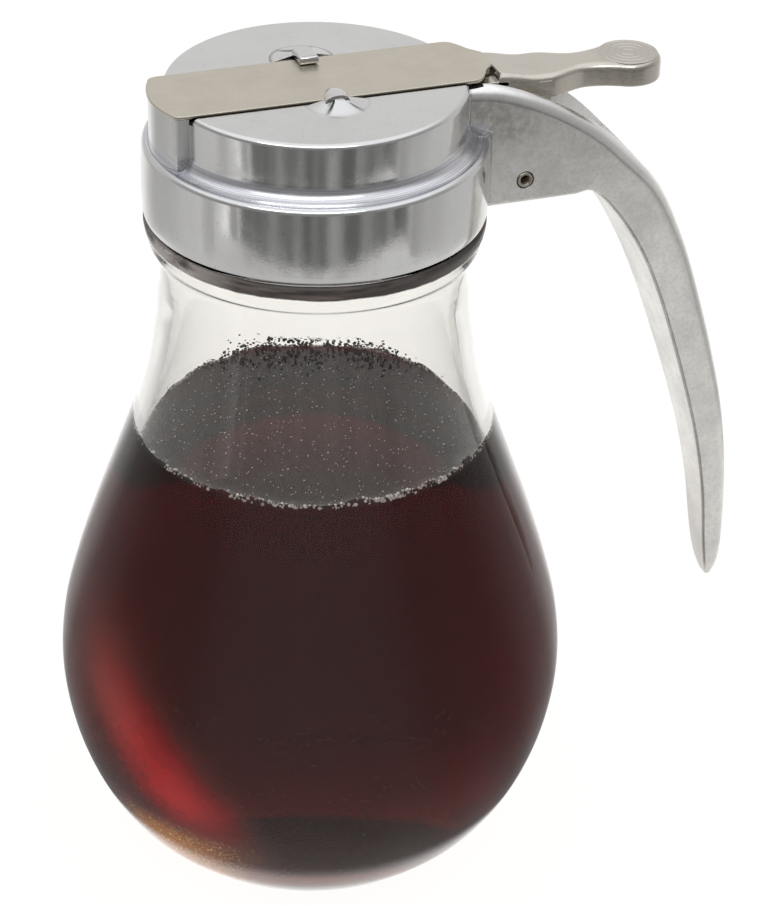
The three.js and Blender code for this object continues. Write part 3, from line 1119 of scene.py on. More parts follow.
def dress(thing: bpy.types.Object, material: bpy.types.Material, body: Body) -> bpy.types.Object:
    """Gives a new piece its material and the body that it rides on.

    Args:
        thing: The piece.
        material: Its material.
        body: The body.

    Returns:
        The same piece.
    """
    thing.data.materials.clear()
    thing.data.materials.append(material)
    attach(thing, body.value)
    LOG.info("%s: %d faces on %s", thing.name, len(thing.data.polygons), body.value)
    return thing


# Jar and syrup


JAR_OUTLINE = (
    (27.7, 1.0), (31.4, 4.0), (35.9, 9.0), (39.9, 16.0), (43.0, 25.0), (44.5, 35.0), (43.8, 45.0),
    (41.4, 55.0), (38.2, 65.0), (34.6, 75.0), (31.1, 85.0), (28.5, 95.0), (27.0, 105.0), (26.5, 113.0),
)


@dataclass
class GlassJar:
    """The clear jar: a teardrop wall on a thick heel, with a flare under the cap and an open mouth."""

    outline: tuple[tuple[float, float], ...] = JAR_OUTLINE
    foot_radius: float = 26.6
    wall: float = 3.3
    floor: float = 6.7
    corner_top: float = 14.5
    shoulder_in: float = 110.0
    throat_low: float = 121.5
    bore: float = 22.6
    mouth: float = 135.2
    lip: float = 0.9
    finish_radius: float = 25.5
    sides: int = 176

    def outside(self, count: int = 150) -> np.ndarray:
        """The outer wall's radius and height from the heel up to the neck."""
        return spline(self.outline, count)

    def radius_at(self, heights: np.ndarray) -> np.ndarray:
        """The outer radius at heights, read off the wall's curve."""
        wall = self.outside(400)
        return np.interp(heights, wall[:, 1], wall[:, 0])

    def inside(self, reach: float, top: float, count: int = 90) -> np.ndarray:
        """The inside from the middle of the floor up to a height, taken outwards by a reach.

        Args:
            reach: How far into the wall, or out of it where negative.
            top: Height of the last point.
            count: Number of points up the wall.

        Returns:
            Radius and height, one point a row.
        """
        corner = float(self.radius_at(np.array([self.corner_top]))[0]) - self.wall + reach
        turn = spline(
            [
                (0.0, self.floor - reach),
                (corner * 0.4, self.floor - reach),
                (corner - 13.5, self.floor + 0.15 - reach),
                (corner - 7.4, self.floor + 1.3 - reach),
                (corner - 2.7, self.floor + 4.0 - reach),
                (corner, self.corner_top),
            ],
            46,
        )
        turn[0, 0] = 0.0
        turn[:, 1] = np.maximum(turn[:, 1], self.floor - reach)
        heights = np.linspace(self.corner_top, top, count + 1)[1:]
        wall = np.column_stack([self.radius_at(heights) - self.wall + reach, heights])
        return np.concatenate([turn, wall])

    def profile(self) -> np.ndarray:
        """The whole wall, out and up from the middle of the base, over the mouth and down to the floor.

        Returns:
            Radius and height, one point a row.
        """
        base, finish, bore, mouth = self.foot_radius, self.finish_radius, self.bore, self.mouth
        foot = np.array(
            [
                [0.0, 0.9], [9.0, 0.8], [18.0, 0.5], [base - 3.4, 0.12], [base - 2.0, 0.0],
                [base - 1.0, 0.06], [base, 0.4],
            ]
        )
        neck = spline(
            [
                (26.5, 113.0), (26.55, 115.3), (26.7, 116.6), (27.05, 117.5), (27.55, 118.2), (27.8, 118.9),
                (28.1, 120.4), (28.4, 121.8), (28.38, 122.5), (27.9, 122.95), (26.6, 123.1), (25.6, 123.3),
            ],
            60,
        )[1:]
        rim = np.array([[finish, 123.8], [finish, 129.0], [finish, mouth - self.lip]])
        lip = arc((finish - self.lip, mouth - self.lip), self.lip, 0.0, 90.0, 5)
        throat = self.throat_low
        well = np.array(
            [
                [bore + 0.8, mouth], [bore + 0.4, mouth - 0.15], [bore, mouth - 0.6], [bore, 130.0],
                [bore, 125.0], [bore, throat],
            ]
        )
        low = float(self.radius_at(np.array([self.shoulder_in]))[0]) - self.wall
        shoulder = spline(
            [
                (bore, throat), (bore + 0.02, 119.6), (bore + 0.14, 117.6), (bore + 0.34, 115.2),
                (bore + (low - bore) * 0.74, 112.6), (low, self.shoulder_in),
            ],
            30,
        )[1:-1]
        return np.concatenate(
            [foot, self.outside(), neck, rim, lip, well, shoulder, self.inside(0.0, self.shoulder_in)[::-1]]
        )

    def mark_wet(self, thing: bpy.types.Object, level: float) -> None:
        """Marks the points of the inside wall below the syrup's level: those nearer the axis than the
        middle of the wall and above the base.

        Args:
            thing: The jar.
            level: Height of the syrup's level.
        """
        mesh = thing.data
        flat = np.empty(len(mesh.vertices) * 3)
        mesh.vertices.foreach_get("co", flat)
        x, y, z = flat.reshape(-1, 3).T / MM
        middle = self.radius_at(z) - self.wall * 0.5
        wet = (np.hypot(x, y) < middle) & (z > self.floor * 0.5) & (z < level)
        mark = mesh.attributes.new("wet", "FLOAT", "POINT")
        mark.data.foreach_set("value", wet.astype(np.float32))

    def build(self, glass: bpy.types.Material, level: float) -> bpy.types.Object:
        """Makes the jar and puts it in the CAD jar's place.

        Args:
            glass: Its material.
            level: Height up to which the inside is wet.

        Returns:
            The jar.
        """
        thing = turned(self.profile(), self.sides).piece("jar_glass")
        thing.data.shade_smooth()
        self.mark_wet(thing, level)
        dress(thing, glass, Body.DISPENSER)
        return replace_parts(thing, "glass_jar")


@dataclass
class SyrupFill:
    """The syrup up to its level, reaching just into the wall, with a skin that climbs the glass unevenly, a
    rim of bubbles, wet drops above it at the back and dust on the skin."""

    jar: GlassJar
    level: float = 82.3
    reach: float = 0.12
    climb: float = 0.9
    climb_width: float = 2.6
    loose_bubbles: int = 170
    bubble_clusters: int = 34
    cluster_bubbles: int = 13
    specks: int = 620
    drops: int = 330
    drops_turn: float = math.radians(72.0)
    drops_low: float = 0.8
    drops_high: float = 5.5
    sides: int = 224
    seed: int = 41

    def ragged(self, angle: np.ndarray) -> np.ndarray:
        """How far up the glass the skin climbs round the jar: a mean height times 1 plus a sum of sines of
        the angle, so that the edge is uneven and closes on itself.

        Args:
            angle: Angles round the axis in radians.

        Returns:
            The height above the level.
        """
        rng = np.random.default_rng(self.seed)
        turns = np.arange(3, 60)
        size = 0.9 / turns**0.8
        phase = rng.uniform(0, 2 * math.pi, len(turns))
        wave = (size[:, None] * np.sin(turns[:, None] * angle[None, :] + phase[:, None])).sum(0)
        return self.climb * np.clip(1.0 + 0.45 * wave, 0.3, 2.2)

    def wall_radius(self, height: float) -> float:
        """The inside wall's radius at a height."""
        return float(self.jar.radius_at(np.array([height]))[0]) - self.jar.wall

    def body(self) -> Skin:
        """The syrup's closed surface: the inside profile turned, then the skin's rings, each lifted near
        the wall by the climb times e to the minus distance over a width.

        Returns:
            The closed surface.
        """
        side = self.jar.inside(self.reach, self.level, 70)
        edge = side[-1, 0]
        inwards = np.concatenate([np.linspace(0.0, 5.0, 18), np.linspace(6.0, edge - 0.5, 16)])
        skin_rings = np.column_stack([edge - inwards, np.full(len(inwards), self.level)])
        profile = np.concatenate([side, skin_rings[1:], [[0.0, self.level]]])
        made = turned(profile, self.sides)
        points = made.points
        radius = np.hypot(points[:, 0], points[:, 1])
        angle = np.arctan2(points[:, 1], points[:, 0])
        lift = self.ragged(angle) * np.exp(-np.maximum(edge - radius, 0.0) / self.climb_width * 2.2)
        top = points[:, 2] >= self.level - 1e-6
        points[top, 2] += lift[top]
        slope = (self.wall_radius(self.level + 2.0) - self.wall_radius(self.level)) / 2.0
        draw = np.where(top & (radius > edge - 0.01), lift * slope, 0.0)
        points[:, 0] += np.cos(angle) * draw
        points[:, 1] += np.sin(angle) * draw
        return made

    @staticmethod
    def beads(
        centres: np.ndarray, sizes: np.ndarray, squash: float = 1.0, rows: int = 4, cols: int = 7
    ) -> Skin:
        """Many small round beads as one surface: each is a coarse ball, radius * (sin v cos u, sin v sin u,
        cos v), moved to its centre.

        Args:
            centres: The beads' centres.
            sizes: Their radii.
            squash: Height over width.
            rows: Rings of each bead.
            cols: Steps round each bead.

        Returns:
            All the beads.
        """
        v = np.linspace(0.0, math.pi, rows + 2)[1:-1]
        arch = np.column_stack([np.sin(v), np.cos(v)])[::-1]
        profile = np.concatenate([[[0.0, -1.0]], arch, [[0.0, 1.0]]])
        ball = turned(profile, cols)
        ball.points[:, 2] *= squash
        count = len(ball.points)
        points = (ball.points[None] * sizes[:, None, None] + centres[:, None]).reshape(-1, 3)
        faces = [tuple(n + k * count for n in f) for k in range(len(centres)) for f in ball.faces]
        return Skin(points, faces)

    def rim_bubbles(self) -> Skin:
        """Small bubbles along the skin's edge, in clusters round the jar.

        Returns:
            All the bubbles.
        """
        rng = np.random.default_rng(self.seed + 1)
        clusters = rng.uniform(0, 2 * math.pi, self.bubble_clusters)
        loose = rng.uniform(0, 2 * math.pi, self.loose_bubbles)
        crowds = [rng.normal(c, rng.uniform(0.02, 0.09), self.cluster_bubbles) for c in clusters]
        angle = np.concatenate([loose, *crowds])
        size = rng.uniform(0.09, 0.24, len(angle)) * rng.choice([1.0, 1.0, 1.35], len(angle))
        lift = self.ragged(angle)
        height = self.level + lift * rng.uniform(0.1, 1.05, len(angle))
        radius = self.jar.radius_at(height) - self.jar.wall - size * rng.uniform(0.3, 0.9, len(angle))
        return self.beads(np.stack([radius * np.cos(angle), radius * np.sin(angle), height], 1), size)

    def dust(self) -> Skin:
        """Fine pale specks on the skin.

        Returns:
            All the specks.
        """
        rng = np.random.default_rng(self.seed + 2)
        count = self.specks
        angle = rng.uniform(0, 2 * math.pi, count)
        radius = self.wall_radius(self.level) * np.sqrt(rng.uniform(0, 0.93, count))
        size = rng.uniform(0.05, 0.11, count) * rng.choice([1.0, 1.0, 1.0, 1.6], count)
        height = np.full(count, self.level + 0.02)
        centres = np.stack([radius * np.cos(angle), radius * np.sin(angle), height], 1)
        return self.beads(centres, size, 0.6, 2, 6)

    def wet_drops(self) -> Skin:
        """Drops of syrup left on the glass above the skin, thickest at the back of the jar. Their heights
        fall off upwards, and what would pass the highest starts again from the lowest.

        Returns:
            All the drops.
        """
        rng = np.random.default_rng(self.seed + 3)
        count = self.drops
        angle = self.drops_turn + rng.normal(0, 0.36, count)
        reach = np.exp(-(((angle - self.drops_turn) / 0.42) ** 2))
        rise = rng.exponential(1.0, count) * (0.5 + 1.6 * reach)
        height = self.level + self.drops_low + np.mod(rise, self.drops_high - self.drops_low)
        size = rng.uniform(0.12, 0.38, count)
        radius = self.jar.radius_at(height) - self.jar.wall - size * 0.25
        return self.beads(np.stack([radius * np.cos(angle), radius * np.sin(angle), height], 1), size, 0.7)

    def build(
        self, syrup: bpy.types.Material, white: bpy.types.Material, drop: bpy.types.Material
    ) -> list[bpy.types.Object]:
        """Makes the syrup in the CAD syrup's place, with its bubbles, drops and dust.

        Args:
            syrup: Material of the syrup.
            white: Material of the bubbles and dust.
            drop: Material of the drops.

        Returns:
            The pieces.
        """
        body = self.body().piece("syrup_body")
        body.data.shade_smooth()
        body.data.set_sharp_from_angle(angle=math.radians(60))
        dress(body, syrup, Body.DISPENSER)
        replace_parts(body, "syrup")
        made = [body]
        for name, skin, material in (
            ("rim_bubbles", self.rim_bubbles(), white),
            ("skin_dust", self.dust(), white),
            ("wet_drops", self.wet_drops(), drop),
        ):
            thing = skin.piece(name)
            thing.data.shade_smooth()
            made.append(dress(thing, material, Body.DISPENSER))
        return made


@dataclass
class NeckFilm:
    """The thin brown film on the jar's flare, right under the cap: dried syrup, and painted shade for the
    shadow under the collar.
    """

    sides: int = 176
    thick: float = 0.05

    def build(self, film: bpy.types.Material) -> bpy.types.Object:
        """Makes the film as a thin ring that hugs the flare.

        Args:
            film: Its material.

        Returns:
            The film.
        """
        out = spline([(28.02, 119.9), (28.22, 120.8), (28.42, 121.8), (28.4, 122.5), (27.95, 122.97)], 16)
        back = out[::-1] - np.array([[self.thick + 0.08, 0.0]])
        loop = np.concatenate([out, back])
        angle = np.linspace(0.0, 2 * math.pi, self.sides, endpoint=False)
        radius = loop[:, 0:1] + self.thick
        grid = np.stack(
            [radius * np.cos(angle), radius * np.sin(angle), np.repeat(loop[:, 1:2], self.sides, 1)], -1
        )
        thing = Skin(grid.reshape(-1, 3), quads(len(loop), self.sides, True, True)).piece("neck_film")
        thing.data.shade_smooth()
        return dress(thing, film, Body.DISPENSER)


# Cap, bracket and handle


def nose_plan(
    nose_x: float, half: float, back_x: float, round_radius: float = 16.0, corner: float = 2.2
) -> np.ndarray:
    """Plan of the spout's rounded nose and of the strip over it: straight sides, then corners that run into
    a wide arc.

    Args:
        nose_x: Where the nose ends.
        half: Half of the width.
        back_x: Where the straight sides end.
        round_radius: Radius of the wide arc.
        corner: Length of each corner.

    Returns:
        The plan's points from the straight side at +Y round the nose to the one at -Y, with the inside on
        the left.
    """
    centre = nose_x + round_radius
    turn = math.asin((half - corner * 0.55) / round_radius)
    angle = np.linspace(turn, -turn, 41)
    front = np.stack([centre - round_radius * np.cos(angle), round_radius * np.sin(angle)], 1)
    start = np.array([front[0, 0] + corner, half])
    t = np.linspace(0.0, 1.0, 9)[:, None]
    corner_point = np.array([front[0, 0] + corner * 0.15, half])
    bend = (1 - t) ** 2 * start + 2 * t * (1 - t) * corner_point + t**2 * front[0]
    low = bend[::-1] * np.array([1.0, -1.0])
    return np.concatenate([[[back_x, half]], bend[:-1], front, low[1:], [[back_x, -half]]])


# Sections of the bracket and handle from the cap to the tip: X and Z of the inner edge, X and Z of the outer
# edge, and the width.
HANDLE_STATIONS = (
    (20.9, 123.6, 20.9, 145.6, 18.0), (29.0, 123.6, 28.9, 144.5, 18.0), (36.5, 123.6, 38.4, 140.6, 18.0),
    (42.6, 123.6, 47.6, 134.7, 17.9), (46.4, 123.5, 55.0, 127.5, 17.5), (51.1, 118.5, 59.9, 121.5, 16.8),
    (56.2, 110.6, 64.3, 112.6, 15.7), (61.2, 99.6, 68.3, 102.3, 13.8), (66.6, 84.3, 73.4, 86.4, 11.8),
    (71.0, 69.9, 77.2, 71.6, 9.9), (73.8, 57.3, 79.1, 58.3, 8.2), (75.4, 45.3, 79.8, 45.8, 6.6),
    (76.4, 39.6, 79.6, 39.6, 5.2), (77.6, 36.0, 78.7, 36.0, 2.6),
)

# The side of each section by its inner edge, one point a row: how deep it lies and how much deeper where the
# seam runs, and how far in from the side and how much further where the seam runs.
SEAM_STEPS = (
    (0.0, 0.0, 0.28, 0.25), (0.07, 0.02, 0.1, 0.12), (0.22, 0.06, 0.02, 0.5), (0.4, 0.1, 0.0, 0.04),
    (0.55, 0.15, 0.0, 0.0),
)


@dataclass
class CapCasting:
    """The cast cap: a collar and cover turned in one, the spout's nose, the strip's groove, two staked
    lugs, and the bracket with its drop handle."""

    collar_radius: float = 28.7
    collar_low: float = 123.6
    collar_high: float = 136.5
    collar_crown: float = 0.16
    collar_bore: float = 26.3
    rim_round: float = 1.05
    cover_radius: float = 24.9
    cover_high: float = 146.0
    cover_round: float = 0.9
    fillet: float = 2.5
    cavity_radius: float = 22.4
    cavity_high: float = 143.4
    seat: float = 135.7
    groove_floor: float = 145.3
    groove_half: float = 8.6
    nose_x: float = -27.7
    nose_half: float = 8.1
    nose_back: float = -20.0
    nose_low: float = 135.4
    nose_trim: tuple[float, float] = (-32.0, -23.5)
    groove: tuple[float, float] = (-23.6, 32.0)
    pour_hole: tuple[float, float] = (-25.2, -20.6)
    pour_half: float = 4.5
    pour_low: float = 138.5
    above: float = 152.0
    pocket_half: float = 6.8
    pin_x: float = 33.7
    pin_z: float = 127.6
    pin_hole: float = 1.56
    lug_x: float = 0.45
    lug_y: float = 9.2
    nose_high: float = 145.76
    stations: tuple[tuple[float, ...], ...] = HANDLE_STATIONS
    edge_round: float = 2.5
    sides: int = 240

    def shell(self) -> Skin:
        """Collar and cover, outside and inside, from one turned profile: the collar's wall bulges by crown
        * (1 - place^2).

        Returns:
            The closed shell.
        """
        place = np.linspace(-1.0, 1.0, 17)
        shoulder = self.collar_high - self.rim_round
        middle = (self.collar_low + shoulder) / 2
        half = (shoulder - self.collar_low - 0.5) / 2
        bulged = self.collar_radius - self.collar_crown * place**2
        wall = np.column_stack([bulged, middle + 0.25 + half * place])
        foot_radius = self.collar_bore + 0.25
        foot = np.array([[self.collar_bore, self.collar_low + 0.25], [foot_radius, self.collar_low]])
        toe = np.array([[wall[0, 0] - 0.45, self.collar_low], [wall[0, 0] - 0.12, self.collar_low + 0.12]])
        rim = arc((wall[-1, 0] - self.rim_round, shoulder), self.rim_round, 6.0, 90.0, 12)
        bend_centre = (self.cover_radius + self.fillet, self.collar_high + self.fillet)
        bend = arc(bend_centre, self.fillet, 270.0, 182.0, 12)
        top_radius, top_low = self.cover_radius - self.cover_round, self.cover_high - self.cover_round
        up = np.linspace(self.collar_high + self.fillet + 0.1, top_low - 0.05, 9)
        bulge = 0.06 * (1 - np.linspace(-1, 1, 9) ** 2)
        cover = np.column_stack([self.cover_radius + bulge, up])
        top = arc((top_radius, top_low), self.cover_round, 4.0, 90.0, 10)
        flat = np.array([[top_radius - 0.1, self.cover_high], [16.0, self.cover_high]])
        centre = np.array([[0.0, self.cover_high]])
        inside = np.array(
            [
                [0.0, self.cavity_high], [self.cavity_radius - 0.5, self.cavity_high],
                [self.cavity_radius, self.cavity_high - 0.5], [self.cavity_radius, self.seat],
                [self.collar_bore, self.seat], [self.collar_bore, self.seat - 0.3],
            ]
        )
        outer = turned(np.concatenate([toe, wall, rim, bend, cover, top, flat, centre]), self.sides)
        inner = turned(np.concatenate([inside, foot]), self.sides)
        return self.bridged(outer, inner)

    def bridged(self, outer: Skin, inner: Skin) -> Skin:
        """The outside and inside joined by the collar's flat foot.

        Args:
            outer: The outside, from the foot to the middle of the top.
            inner: The inside, from the middle of the top to the foot.

        Returns:
            The closed shell.
        """
        n = self.sides
        both = outer.with_skins(inner)
        last_inner = len(outer.points) + (len(inner.points) - 1 - n)
        here = np.arange(n)
        beside = (here + 1) % n
        ring = np.stack([last_inner + here, last_inner + beside, beside, here], 1)
        return Skin(both.points, both.faces + [tuple(f) for f in ring.tolist()])

    def handle(self) -> Skin:
        """Bracket and handle: sections from the cap to the tip, each between an inner and an outer edge.
        The outer corners are rounded, and along the drop a fine seam is cut where each side meets the inner
        face.

        Returns:
            The closed solid.
        """
        rows = spline(self.stations, 118)
        inner, outer, width = rows[:, 0:2], rows[:, 2:4], rows[:, 4]
        depth = np.linalg.norm(outer - inner, axis=1)
        along = (outer - inner) / depth[:, None]
        station = np.linspace(0, len(self.stations) - 1, len(rows))
        seam = ease((station - 4.0) / 0.8) * ease((13.0 - station) / 1.2)
        corner = np.minimum(self.edge_round, np.minimum(width, depth) * 0.4)
        small = np.minimum(1.0, depth / 3.2)
        half = width / 2
        at_depth, in_side = [], []
        for deep, deeper, narrow, narrower in SEAM_STEPS:
            at_depth.append((deep + deeper * seam) * small)
            in_side.append((narrow + narrower * seam) * small)
        at_depth.append((depth - corner) * 0.5)
        in_side.append(np.zeros_like(half))
        for a in np.radians(np.linspace(-90.0, 0.0, 9)):
            at_depth.append(depth - corner + corner * math.cos(a))
            in_side.append(corner + corner * math.sin(a))
        at_u = np.array([*at_depth, depth, *at_depth[::-1], np.zeros_like(half)]).T
        near = [inwards - half for inwards in in_side]
        at_v = np.array([*near, np.zeros_like(half), *[-v for v in near[::-1]], np.zeros_like(half)]).T
        x = inner[:, 0:1] + along[:, 0:1] * at_u
        z = inner[:, 1:2] + along[:, 1:2] * at_u
        return lofted(np.stack([x, at_v, z], -1))

    def pocket(self) -> Skin:
        """The hollow in the bracket under the lever.

        Returns:
            The solid to cut with.
        """
        outline = np.array(
            [
                (24.5, 152.0), (24.5, 120.0), (41.5, 120.0), (43.8, 132.6), (45.2, 132.9), (46.8, 132.0),
                (50.5, 129.0), (52.6, 127.6), (53.6, 127.5), (54.7, 128.6), (55.3, 130.2), (55.3, 152.0),
            ]
        )
        return crosswise(outline, self.pocket_half)

    def lug(self, side: Side) -> tuple[Skin, np.ndarray]:
        """A staked lug: a half cone beside the strip, top * (1 - r / R)^1.15 high, with two creases that
        run out from its point, each as deep as a narrow bump of the angle.

        Args:
            side: Which side of the strip.

        Returns:
            The closed surface and, for each point, how dark it is painted from 0 to 1: soiling and painted
            shade in the creases, and a painted shadow round the foot.
        """
        reach, top, crease_at = 5.6, 1.75, 0.62
        rows, cols = 26, 90
        r = np.linspace(0.0, 1.0, rows)[:, None]
        a = np.linspace(-math.pi, 0.0, cols)[None, :]
        spread = np.abs(a + math.pi / 2)
        crease = np.exp(-(((spread - crease_at) / 0.075) ** 2))
        wing = ease((spread - crease_at) / 0.2)
        height = top * (1 - r) ** 1.15 * (1 - 0.28 * wing) * (1 - 0.5 * crease * np.sin(r * math.pi) ** 0.6)
        x = self.lug_x + reach * r * np.cos(a)
        y = -self.lug_y + 0.2 + reach * r * np.sin(a)
        z = self.cover_high - 0.02 + height
        grid = np.stack(np.broadcast_arrays(x, y, z), -1)
        base = grid.copy()
        base[..., 2] = self.cover_high - 0.5
        # Soiling and painted shade in the creases, and a painted shadow round the foot, strongest on the back
        # lug.
        foot = 0.55 if side is Side.BACK else 0.1
        dirt_and_shade = 1.1 * crease * ease(r / 0.2) * (1 - r**4) + foot * ease((r - 0.84) / 0.12)
        dirt_and_shade = np.concatenate([np.clip(dirt_and_shade, 0, 1).ravel(), np.ones(rows * cols)])
        points = np.concatenate([grid.reshape(-1, 3), base.reshape(-1, 3)])
        n = rows * cols
        upper = quads(rows, cols, False)
        faces = [f[::-1] for f in upper] + [tuple(k + n for k in f) for f in upper]
        edge = (rows - 1) * cols + np.arange(cols - 1)
        left = np.arange(rows - 1) * cols
        right = left + cols - 1
        for walls in (
            (edge, edge + n, edge + 1 + n, edge + 1),
            (left, left + n, left + cols + n, left + cols),
            (right, right + cols, right + cols + n, right + n),
        ):
            faces += [tuple(f) for f in np.stack(walls, 1).tolist()]
        made = Skin(points, faces)
        return (made if side is Side.FRONT else made.mirrored()), dirt_and_shade

    def finger(self, side: Side) -> Skin:
        """The lug's finger over the strip: at the front a low dome, height * (1 - across^2.6)^0.5,
        narrowing to a round tip, and at the back a square-ended block.

        Args:
            side: Which side of the strip.

        Returns:
            The closed solid.
        """
        if side is Side.BACK:
            half, corner, near, far = 1.65, 0.2, 5.15, 9.6
            plan = np.array(
                [
                    [-half, far], [-half, near + corner], [corner - half, near], [half - corner, near],
                    [half, near + corner], [half, far],
                ]
            )
            return rounded_plate(plan + np.array([self.lug_x + 0.1, 0.0]), 146.5, 147.85, 0.42, 4)
        rows, cols = 26, 27
        along, across = np.meshgrid(np.linspace(0.0, 1.0, rows), np.linspace(-1.0, 1.0, cols), indexing="ij")
        half = 1.15 * np.sqrt(1 - (1 - np.minimum(along / 0.2, 1.0)) ** 2) + 0.95 * ease(along / 0.8) + 0.02
        x = self.lug_x + 0.45 - 0.75 * along + half * across
        y = -4.8 - 5.6 * along
        dome = np.sqrt(np.maximum(1 - np.abs(across) ** 2.6, 0.0)) * ease((along + 0.05) / 0.3) ** 0.5
        z = 146.38 + (0.7 + 0.75 * ease(along / 0.6)) * dome
        top = np.stack([x, y, z], -1)
        low = top.copy()
        low[..., 2] = self.cover_high - 0.1
        n = rows * cols
        upper = quads(rows, cols, False)
        faces = upper + [tuple(k + n for k in f[::-1]) for f in upper]
        numbers = np.arange(n).reshape(rows, cols)
        rim = np.concatenate([numbers[0], numbers[1:, -1], numbers[-1, -2::-1], numbers[-2:0:-1, 0]])
        beside = np.roll(rim, -1)
        faces += [tuple(f) for f in np.stack([beside, beside + n, rim + n, rim], 1)[:, ::-1].tolist()]
        return Skin(np.concatenate([top.reshape(-1, 3), low.reshape(-1, 3)]), faces)

    def build(self, metal: bpy.types.Material) -> list[bpy.types.Object]:
        """Makes the casting in the CAD casting's place.

        Args:
            metal: Its material.

        Returns:
            The cap and the fine form of its lugs.
        """
        body = self.shell().piece("cap_body")
        nose_outline = nose_plan(self.nose_x, self.nose_half, self.nose_back)
        nose = rounded_plate(nose_outline, self.nose_low, self.nose_high, 0.12, 2)
        join(body, nose, Shape.ADD)
        grip = self.handle().piece("grip")
        join(grip, self.pocket(), Shape.CUT)
        hole = np.array([[0.0, -20.0], [self.pin_hole, -20.0], [self.pin_hole, 20.0], [0.0, 20.0]])
        join(grip, bar(self.pin_x, self.pin_z, hole, 48), Shape.CUT)
        keep = Skin(*self.raw(grip))
        bpy.data.objects.remove(grip)
        join(body, keep, Shape.ADD)
        hollow = np.array(
            [
                [0.0, 120.0], [self.collar_bore, 120.0], [self.collar_bore, self.seat],
                [self.cavity_radius, self.seat], [self.cavity_radius, self.cavity_high],
                [0.0, self.cavity_high],
            ]
        )
        join(body, turned(hollow, self.sides), Shape.CUT)
        for (start, end), half, low in (
            (self.groove, self.groove_half, self.groove_floor),
            (self.nose_trim, self.groove_half, self.nose_high),
            (self.pour_hole, self.pour_half, self.pour_low),
        ):
            join(body, block((start, -half, low), (end, half, self.above)), Shape.CUT)
        smooth_but_sharp(body, 34.0)
        dress(body, metal, Body.DISPENSER)
        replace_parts(body, "cap_casting")
        made = [body]
        for side in Side:
            skin, dirt_and_shade = self.lug(side)
            stake = skin.piece(f"lug_{side.name.lower()}")
            smooth_but_sharp(stake, 50.0, False)
            # The lug's soiling and painted shade, kept on its points.
            grime = stake.data.attributes.new("grime", "FLOAT", "POINT")
            grime.data.foreach_set("value", dirt_and_shade.astype(np.float32))
            over = self.finger(side).piece(f"finger_{side.name.lower()}")
            smooth_but_sharp(over, 40.0, False)
            made += [dress(p, metal, Body.DISPENSER) for p in (stake, over)]
        return made

    @staticmethod
    def raw(thing: bpy.types.Object) -> tuple[np.ndarray, list[tuple[int, ...]]]:
        """A piece's points in millimetres and its faces.

        Args:
            thing: The piece.

        Returns:
            The points and the faces.
        """
        mesh = thing.data
        flat = np.empty(len(mesh.vertices) * 3)
        mesh.vertices.foreach_get("co", flat)
        return flat.reshape(-1, 3) / MM, [tuple(p.vertices) for p in mesh.polygons]


# Shutter, lever and pin


@dataclass
class ShutterStrip:
    """The flat strip over the spout, with rounded rims and a tongue down into the lever's slot."""

    half: float = 8.2
    low: float = 145.8
    high: float = 146.4
    nose_x: float = -28.0
    shoulder_x: float = 25.0
    end_x: float = 29.6
    tongue_half: float = 2.3
    tongue: tuple[float, float] = (28.4, 29.2)
    tongue_low: float = 142.6

    def plan(self) -> np.ndarray:
        """The strip's plan: the nose, the long sides and the rounded end with the tongue's root.

        Returns:
            The plan, going round with the inside on the left.
        """
        x, end_x = self.shoulder_x, self.end_x
        lower = spline(
            [
                (x - 0.9, -self.half), (x + 0.1, -self.half + 0.12), (x + 0.85, -self.half + 0.6),
                (x + 1.45, -6.9), (x + 2.15, -5.7), (x + 2.9, -4.3), (end_x - 0.75, -3.2),
                (end_x - 0.12, -2.45), (end_x, -1.6),
            ],
            40,
        )
        upper = lower[::-1] * np.array([1.0, -1.0])
        return np.concatenate([nose_plan(self.nose_x, self.half, self.shoulder_x - 2.0), lower, upper])

    def build(self, sheet: bpy.types.Material) -> bpy.types.Object:
        """Makes the strip in the CAD strip's place.

        Args:
            sheet: Its material.

        Returns:
            The strip.
        """
        plate = rounded_plate(self.plan(), self.low, self.high, 0.16, 3)
        x0, x1 = self.tongue
        leg_plan = np.array(
            [[x0, -self.tongue_half], [x1, -self.tongue_half], [x1, self.tongue_half], [x0, self.tongue_half]]
        )
        leg = rounded_plate(leg_plan, self.tongue_low, self.high - 0.15, 0.15, 2)
        thing = plate.with_skins(leg).piece("strip_sheet")
        smooth_but_sharp(thing, 40.0)
        dress(thing, sheet, Body.SHUTTER)
        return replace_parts(thing, "shutter_strip")


